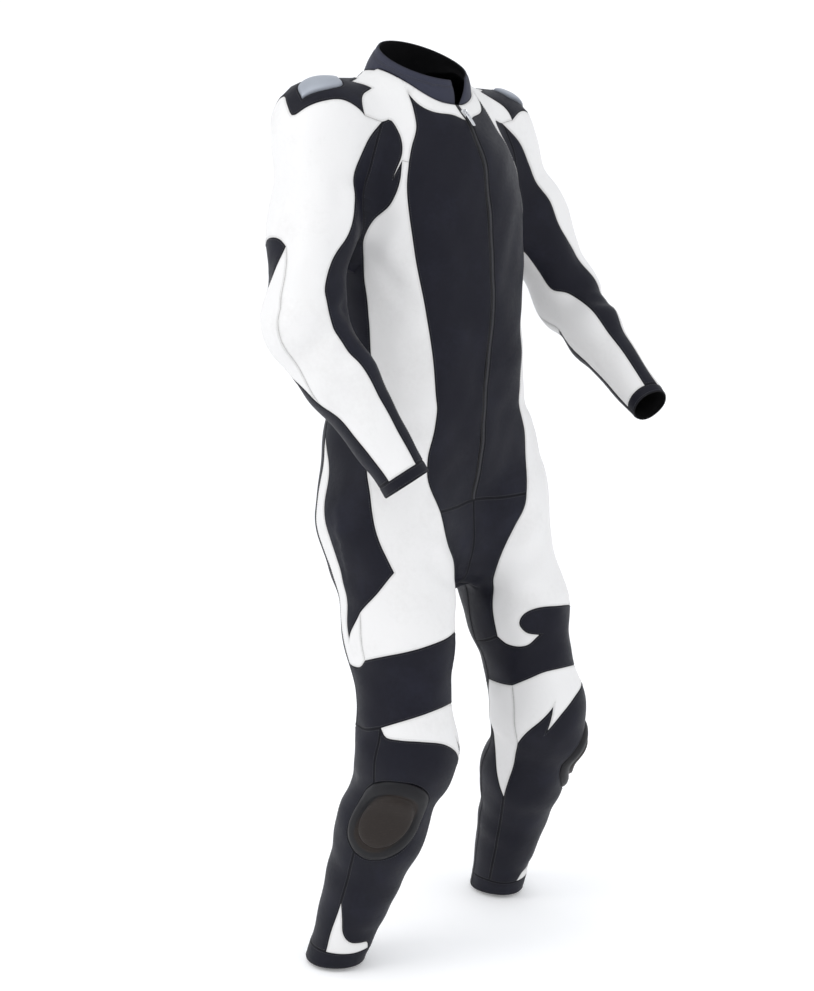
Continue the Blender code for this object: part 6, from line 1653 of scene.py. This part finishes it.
@dataclass(frozen=True)
class Boss:
    """A hard shell set in a loop of seams: height over the cloth against share of the way out."""

    node: str
    way: str
    about: float
    text: str
    profile: tuple[tuple[float, float], ...]
    finish: Any
    slot: str
    rings: int = 30
    crowding: float = 1.25    # over 1, rings lie closer near the rim

    def build(self, shop: Workshop, pattern: Pattern, letter: str) -> bpy.types.Object:
        """Rings of the loop drawn towards its middle, each lifted by the profile."""
        chart, loop = pattern.chart[self.way], pattern.loop(self.text)
        panel = Panel(chart, [loop], self.about)
        normal = panel.normal[0]
        rim = inset(loop, normal, panel.turn[0], SEAM_GAP / 2)
        uv = panel.flat[0]
        middle, count = uv.mean(axis=0), len(loop)
        shares = 1 - np.linspace(0, 1, self.rings, endpoint=False)[1:] ** self.crowding
        low_high = rows_at(self.profile, shares)[:, 0]
        grid = middle + (uv - middle) * shares[:, None, None]
        points = chart.point(chart.unflat(grid.reshape(-1, 2)))
        lifted = points + SUIT.normals(points) * np.repeat(low_high, count)[:, None]
        crown = chart.point(chart.unflat(middle[None]))
        axis = SUIT.normals(crown)
        half = chart.point(chart.unflat(middle + (uv - middle) * 0.5))
        under = [rim - normal * LEATHER, half - SUIT.normals(half) * LEATHER,
                 crown - axis * LEATHER]
        verts = np.vstack([rim, lifted, crown + axis * self.profile[0][1], *under])
        top, i = self.rings * count, np.arange(count)
        j, low, deep = (i + 1) % count, top + 1, top + 1 + count
        tris = np.vstack([np.stack([top - count + i, top - count + j, top + 0 * i], -1),
                          np.stack([deep + j, deep + i, deep + count + 0 * i], -1)])
        quads = np.vstack([tube_faces(self.rings, count),
                           np.stack([low + j, low + i, deep + i, deep + j], -1),
                           np.stack([j, i, low + i, low + j], -1)])
        faces = facing(verts, [quads, tris], normal[0])
        reach = np.linalg.norm(rim - crown, axis=1)
        edge = np.r_[np.zeros(count), ((1 - shares)[:, None] * reach).ravel(), reach.mean(),
                     np.zeros(2 * count + 1)]
        return shop.add(f"{self.node}_shell_{letter}", verts, faces, (self.finish,), self.slot,
                        [f"{self.node}_{letter}"], edge=edge, sharp=60.0)


LINING = Lining()
BOSSES = (
    Boss("shoulder_cup", "arm", 83, "cup_fore cup_rear",
         ((0.0, 0.0056), (0.45, 0.0052), (0.80, 0.0040), (0.94, 0.0024), (1.0, 0.0)),
         Armour(), "shoulder_armour", 24),
    Boss("knee_puck", "body", 40, "puck_fore puck_rear",
         ((0.0, 0.0124), (0.25, 0.0121), (0.50, 0.0112), (0.60, 0.0095), (0.65, 0.0049),
          (0.68, 0.0045), (0.72, 0.0062), (0.76, 0.0065), (0.86, 0.0058), (0.95, 0.0032),
          (1.0, 0.0)),
         Puck(), "knee_puck", 44),
)


# ---------------------------------------------------------------- collar
@dataclass
class Collar:
    """The stand-up collar: a rounded pad over the neck seam, from one side of the zip round."""

    shop: Workshop
    right: Pattern
    left: Pattern
    thick: float = 0.0030
    rim_half: float = 0.069
    rim_centre: float = 0.0045
    rim_depth: float = 0.0604
    rim_low: float = 0.0385
    rim_slope: float = 0.493
    rim_front: float = -0.055
    parted: tuple[float, float] = (2.0, 34.0)   # degrees from the middle to the rim's ends
    bulge: float = 0.0025
    lift: float = -0.0005
    round_off: float = 0.0014
    binding: float = 0.0085                     # how far the binding reaches down from the rim
    pressed: tuple[float, float] = (0.0006, 0.0011)    # depth and half width of its lower edge
    sewn: tuple[float, float] = (0.0024, 0.0045)    # stitches below the binding, and above the foot
    sewn_end: float = 0.004                     # how far from its ends the stitches stop
    ease: float = 1.06                          # the cut is longer than the foot by this much
    thin: float = 0.0025                        # square of the share of its thickness an edge keeps
    rows: int = 15

    def base(self) -> tuple[Array, Array]:
        """The neck seam from the right of the zip round the back, and its turns in degrees."""
        names = ("neck_front", "neck_rear", "neck_nape")
        halves = [np.vstack([s.lines[names[0]]] + [s.lines[name][1:] for name in names[1:]])
                  for s in (self.right, self.left)]
        base = np.vstack([halves[0], halves[1][::-1][1:]])
        turn = np.degrees(np.arctan2(base[:, 0] / Neck.half,
                                     (Neck.centre - base[:, 1]) / Neck.depth))
        turn[:len(halves[0])] = -np.abs(turn[:len(halves[0])])
        return base, turn

    def grid(self) -> tuple[Array, Array, Array]:
        """Outer face as rows of points from the seam to the rim: a line between two ovals.

        Returns:
            The points, the ways out, and the height of each row as a share.
        """
        base, turn = self.base()
        zip_turn = math.degrees(math.asin(ZIP_HALF / Neck.half))
        right, left = self.parted
        wider = np.where(turn < 0, zip_turn - right, left - zip_turn)
        angle = np.radians(turn + wider * (1 - np.abs(turn) / 180.0) ** 2)
        y = self.rim_centre - self.rim_depth * np.cos(angle)
        rim = np.stack([self.rim_half * np.sin(angle), y,
                        self.rim_low + self.rim_slope * (y - self.rim_front)], axis=-1)
        away = unit(np.stack([np.sin(angle), -np.cos(angle), 0 * angle], axis=-1))
        share = np.r_[0.0, 0.02, np.linspace(0.06, 0.88, self.rows), 0.94, 0.97, 0.985, 0.995, 1.0]
        s = share[:, None, None]
        points = (base + (rim - base) * s + away * self.bulge * np.sin(math.pi * s)
                  + unit(rim - base) * self.lift * (s == 0))
        normal = unit(np.cross(np.gradient(points, axis=1), np.gradient(points, axis=0)))
        normal *= np.sign((normal * away).sum(-1, keepdims=True))
        return points, normal, share

    def build(self) -> None:
        """Close the pad: half thickness follows a quarter circle at the rim, foot and ends."""
        points, normal, share = self.grid()
        tall = np.linalg.norm(points[-1] - points[0], axis=-1)
        run = along_line(points[len(share) // 2])
        down = (1 - share)[:, None] * tall
        ends = np.minimum(run, run[-1] - run)[None] + 0 * down
        away = [np.clip(d / self.round_off, 0, 1) for d in (down, share[:, None] * tall, ends)]
        full = np.prod([np.sqrt(np.maximum(1 - (1 - d) ** 2, self.thin)) for d in away], axis=0)
        depth, width = self.pressed
        sunk = depth * np.exp(-((down - self.binding) / width) ** 2)
        middle = points - normal * self.thick / 2
        outer = middle + normal * (full * self.thick / 2 - sunk)[..., None]
        inner = middle - normal * (full * self.thick / 2)[..., None]
        rows, count = full.shape
        quads = tube_faces(rows, count, closed=False)
        quads = facing(outer.reshape(-1, 3), [quads], normal[0, 0])[0]
        faces = np.vstack([quads, quads[:, ::-1] + rows * count,
                           border_quads(quads, rows * count)])
        inward = np.arange(len(faces)) // len(quads) == 1
        edge = np.minimum(np.minimum(down, share[:, None] * tall), ends).ravel()
        verts = np.vstack([outer.reshape(-1, 3), inner.reshape(-1, 3)])
        made = self.shop.add("leather_collar", verts, [faces], (LEATHERS["collar"], LINING),
                             "collar_leather", ["collar"], inward, np.r_[edge, edge])
        self.stitches(outer, normal, down)

    def stitches(self, outer: Array, normal: Array, down: Array) -> None:
        """Rows of stitches under the binding and over the foot."""
        stitch, found = Stitch(), []
        columns = np.arange(outer.shape[1])
        for depth in (self.binding + self.sewn[0], down[0].min() - self.sewn[1]):
            row = np.argmin(np.abs(down - depth), axis=0)
            line = outer[row, columns]
            where = np.arange(self.sewn_end, along_line(line)[-1] - self.sewn_end, stitch.pitch)
            middle = resample(line, where)
            found.append((middle, unit(resample(line, where + LOOK_AHEAD) - middle),
                          unit(resample(normal[row, columns], where))))
        sew(self.shop, "stitching_collar", found, stitch, BLACK)


# ---------------------------------------------------------------- zip
@dataclass
class FrontZip:
    """The closed front zip: woven tape and two rows of teeth."""

    shop: Workshop
    left: Pattern
    tape: float = 0.0100                    # cut width of the tape, its edges under the leather
    tooth_pitch: float = 0.0021
    tooth: tuple[float, float, float] = (0.0013, 0.0009, 0.0010)    # half width, length, height
    tooth_aside: float = 0.0009             # how far each row stands from the middle
    tooth_narrow: float = 0.66              # width and length of its top as a share of its foot
    line_step: float = 0.003                # distance between points of the middle line

    def line(self) -> tuple[Array, Array, Array]:
        """The tape's middle line from top to foot, its ways down and out."""
        edge = np.vstack([self.left.lines["zip_top"], self.left.lines["zip_edge"][1:]])
        edge[-1] += unit(edge[-2] - edge[-1]) * SEAM_GAP
        run = along_line(edge)
        even = resample(edge, np.linspace(0, run[-1], round(run[-1] / self.line_step)))
        normal = SUIT.normals(even)
        even = even + normal * SUIT.relief(even)[:, None]
        centre = even * (0, 1, 1)
        down = unit(np.gradient(centre, axis=0))
        out = unit(normal * (0, 1, 1))
        return centre, down, out

    def build(self) -> None:
        """Tape as a section carried along the line, then its teeth."""
        centre, down, out = self.line()
        wide = ZIP_HALF - SEAM_GAP / 2
        section = np.array([(-wide, -0.0006), (-0.0026, -0.0005), (-0.0018, -0.0001), (0.0, 0.0),
                            (0.0018, -0.0001), (0.0026, -0.0005), (wide, -0.0006),
                            (wide, -0.0018), (0.0, -0.0018), (-wide, -0.0018)])
        across = np.array([1.0, 0.0, 0.0])
        rings = centre[:, None] + section[:, :1] * across + section[:, 1:] * out[:, None]
        count = len(section)
        verts = rings.reshape(-1, 3)
        last = len(verts) - count
        caps = [np.arange(count)[None, ::-1], last + np.arange(count)[None]]
        faces = facing(verts, [tube_faces(len(centre), count), *caps], out[0])
        made = self.shop.add("zip_tape_front", verts, faces, (Webbing(),), "zip_tape", ["zip"],
                             sharp=35.0)
        length = along_line(centre)[-1]
        self.teeth(centre, down, out)

    def teeth(self, centre: Array, down: Array, out: Array) -> None:
        """Two rows of chamfered blocks, set in turn left and right of the middle."""
        half, long, high = self.tooth
        base = np.array([(-1, -1), (1, -1), (1, 1), (-1, 1)], float)
        points = np.vstack([np.c_[base * (half, long / 2) * grow, np.full(4, h)]
                            for grow, h in ((1.0, -0.0004), (1.0, high * 0.55),
                                            (self.tooth_narrow, high))])
        i = np.arange(4)
        j = (i + 1) % 4
        quads = np.vstack([np.stack([4 * k + i, 4 * k + j, 4 * k + 4 + j, 4 * k + 4 + i], -1)
                           for k in (0, 1)] + [[(3, 2, 1, 0), (8, 9, 10, 11)]])
        where = np.arange(0.002, along_line(centre)[-1] - 0.001, self.tooth_pitch / 2)
        at, along, up = (resample(rows, where) if rows is centre else
                         unit(np.stack([np.interp(where, along_line(centre), rows[:, k])
                                        for k in range(3)], -1)) for rows in (centre, down, out))
        at[:, 0] += np.where(np.arange(len(where)) % 2, 1, -1) * self.tooth_aside
        axes = np.stack([np.cross(along, up), along, up], axis=1)
        axes[:, 0] *= np.sign(np.linalg.det(axes))[:, None]
        verts, groups = repeated(points, [quads], at, axes)
        finish = Metal("zip_teeth_metal", (0.10, 0.10, 0.11), 0.36)
        self.shop.add("zip_teeth", verts, groups, (finish,), "zip_metal", sharp=30.0)


def refined(shop: Workshop, node: str, finish: Any, rides: Rides, soft: float) -> bpy.types.Object:
    """A CAD node's own form with its edges broken, in the node's place.

    Args:
        shop: Where it is made.
        node: The node.
        finish: Its finish.
        rides: The body that it rides on.
        soft: Width of the broken edges.

    Returns:
        The piece.
    """
    mesh = bmesh.new()
    mesh.from_mesh(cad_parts[node].data)
    bmesh.ops.remove_doubles(mesh, verts=mesh.verts, dist=1e-5)
    bmesh.ops.dissolve_limit(mesh, angle_limit=math.radians(2), verts=mesh.verts, edges=mesh.edges)
    verts = np.array([v.co[:] for v in mesh.verts])
    faces = [np.array([[v.index for v in face.verts]]) for face in mesh.faces]
    mesh.free()
    made = shop.add(node + "_finished", verts, faces, (finish,), "zip_metal", [node], rides=rides)
    bevel = made.modifiers.new("broken_edges", "BEVEL")
    bevel.width, bevel.segments, bevel.limit_method = soft, 2, "ANGLE"
    bevel.angle_limit = math.radians(38)
    return made


# ---------------------------------------------------------------- studio
@dataclass
class Studio:
    """Pale floor, soft lights and the camera."""

    shop: Workshop
    image: tuple[int, int] = (814, 991)
    azimuth: float = -45.3
    elevation: float = 11.7
    distance: float = 2.687
    focal_px: float = 1748.0
    aside: float = -0.026
    aim_z: float = -0.583
    film: float = 36.0                      # millimetres
    floor_z: float = -1.2905
    floor_half: float = 9.0
    floor_level: float = 5.0                # the floor starts to rise this far out
    floor_rise: float = 0.16
    floor_rows: int = 73
    lit_z: float = -0.55                    # height that the lights look at

    def camera(self) -> None:
        """Stand the camera on its own line of sight, level."""
        data = bpy.data.cameras.new("camera")
        made = placed("camera", data)
        data.sensor_fit, data.sensor_height, data.sensor_width = "AUTO", self.film, self.film
        data.lens = self.focal_px / max(self.image) * self.film
        data.clip_start, data.clip_end = 0.05, 60.0
        a, e = math.radians(self.azimuth), math.radians(self.elevation)
        back = Vector((math.sin(a) * math.cos(e), -math.cos(a) * math.cos(e), math.sin(e)))
        target = Vector((math.cos(a), math.sin(a), 0)) * self.aside + Vector((0, 0, self.aim_z))
        made.location = target + back * self.distance
        made.rotation_euler = back.to_track_quat("Z", "Y").to_euler()
        bpy.context.scene.camera = made

    def light(self, name: str, azimuth: float, height: float, away: float, size: float,
              watts: float, colour: tuple[float, float, float]) -> None:
        """A square soft light that looks at the middle of the suit."""
        data = bpy.data.lights.new(name, "AREA")
        data.energy, data.size, data.color = watts, size, colour
        made = placed(name, data)
        turn = math.radians(azimuth)
        made.location = (away * math.sin(turn), -away * math.cos(turn), height)
        middle = Vector((0, 0, self.lit_z))
        made.rotation_euler = (made.location - middle).to_track_quat("Z", "Y").to_euler()

    def floor(self) -> None:
        """A sheet z(x, y): level near the suit, rising softly far off on every side."""
        count = self.floor_rows
        line = np.linspace(-self.floor_half, self.floor_half, count)
        x, y = np.meshgrid(line, line, indexing="ij")
        away = np.maximum(0.0, np.hypot(x, y) - self.floor_level)
        verts = np.stack([x, y, self.floor_z + self.floor_rise * away ** 2], axis=-1).reshape(-1, 3)
        mesh = bpy.data.meshes.new("floor")
        mesh.from_pydata(verts.tolist(), [],
                         tube_faces(count, count, closed=False)[:, ::-1].tolist())
        mesh.materials.append(self.shop.material(Paper()))
        mesh.polygons.foreach_set("use_smooth", np.ones(len(mesh.polygons), bool))
        placed("floor", mesh)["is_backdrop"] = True

    def build(self) -> None:
        """Camera, world, lights and floor."""
        self.camera()
        self.floor()
        scene = bpy.context.scene
        scene.view_settings.view_transform = "Standard"
        world = bpy.data.worlds.new("studio")
        scene.world = world
        world.use_nodes = True
        sky = world.node_tree.nodes["Background"]
        sky.inputs["Color"].default_value = (0.95, 0.97, 1.0, 1.0)
        sky.inputs["Strength"].default_value = 0.92
        self.light("key", -105.0, 1.3, 2.6, 1.6, 24.0, (1.0, 0.99, 0.97))
        self.light("fill", 15.0, 0.9, 3.2, 2.4, 12.0, (1.0, 0.99, 0.98))
        self.light("top", -60.0, 3.0, 1.2, 2.2, 14.0, (1.0, 1.0, 1.0))


# ---------------------------------------------------------------- the suit
def gusset(shop: Workshop, right: Pattern, left: Pattern) -> None:
    """The small panel between the legs, which crosses the middle."""
    front, back = "gusset_front", "gusset_back"
    lines = [left.lines[front], left.lines[back], right.lines[back][::-1], right.lines[front][::-1]]
    loop = np.vstack([line[:-1] for line in lines])
    panel = Panel(Straight(1, "down"), [loop], 0.0)
    dress(shop, "crotch_gusset", panel.cloth(), BLACK)


def main() -> None:
    """Build the suit and its studio."""
    logging.basicConfig(level=logging.INFO, format="%(message)s")
    shop = Workshop()
    right, left = Pattern(-1), Pattern(1)
    for pattern in (right, left):
        LeatherSide(shop, pattern).build()
    gusset(shop, right, left)
    Collar(shop, right, left).build()
    FrontZip(shop, left).build()
    nickel = Metal("zip_nickel", (0.72, 0.73, 0.75), 0.24)
    for node, body in (("zip_slider", Rides.SUIT), ("zip_pull_tab", Rides.TAB)):
        refined(shop, node, nickel, body, ZIP_EDGE)
    Studio(shop).build()
    LOG.info("%d pieces", shop.count)
    boxes = {"cad": CAD_BOX, "scene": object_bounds()}
    ({name: [[float(x) for x in corner] for corner in box]
               for name, box in boxes.items()})


if __name__ == "__main__":
    main()
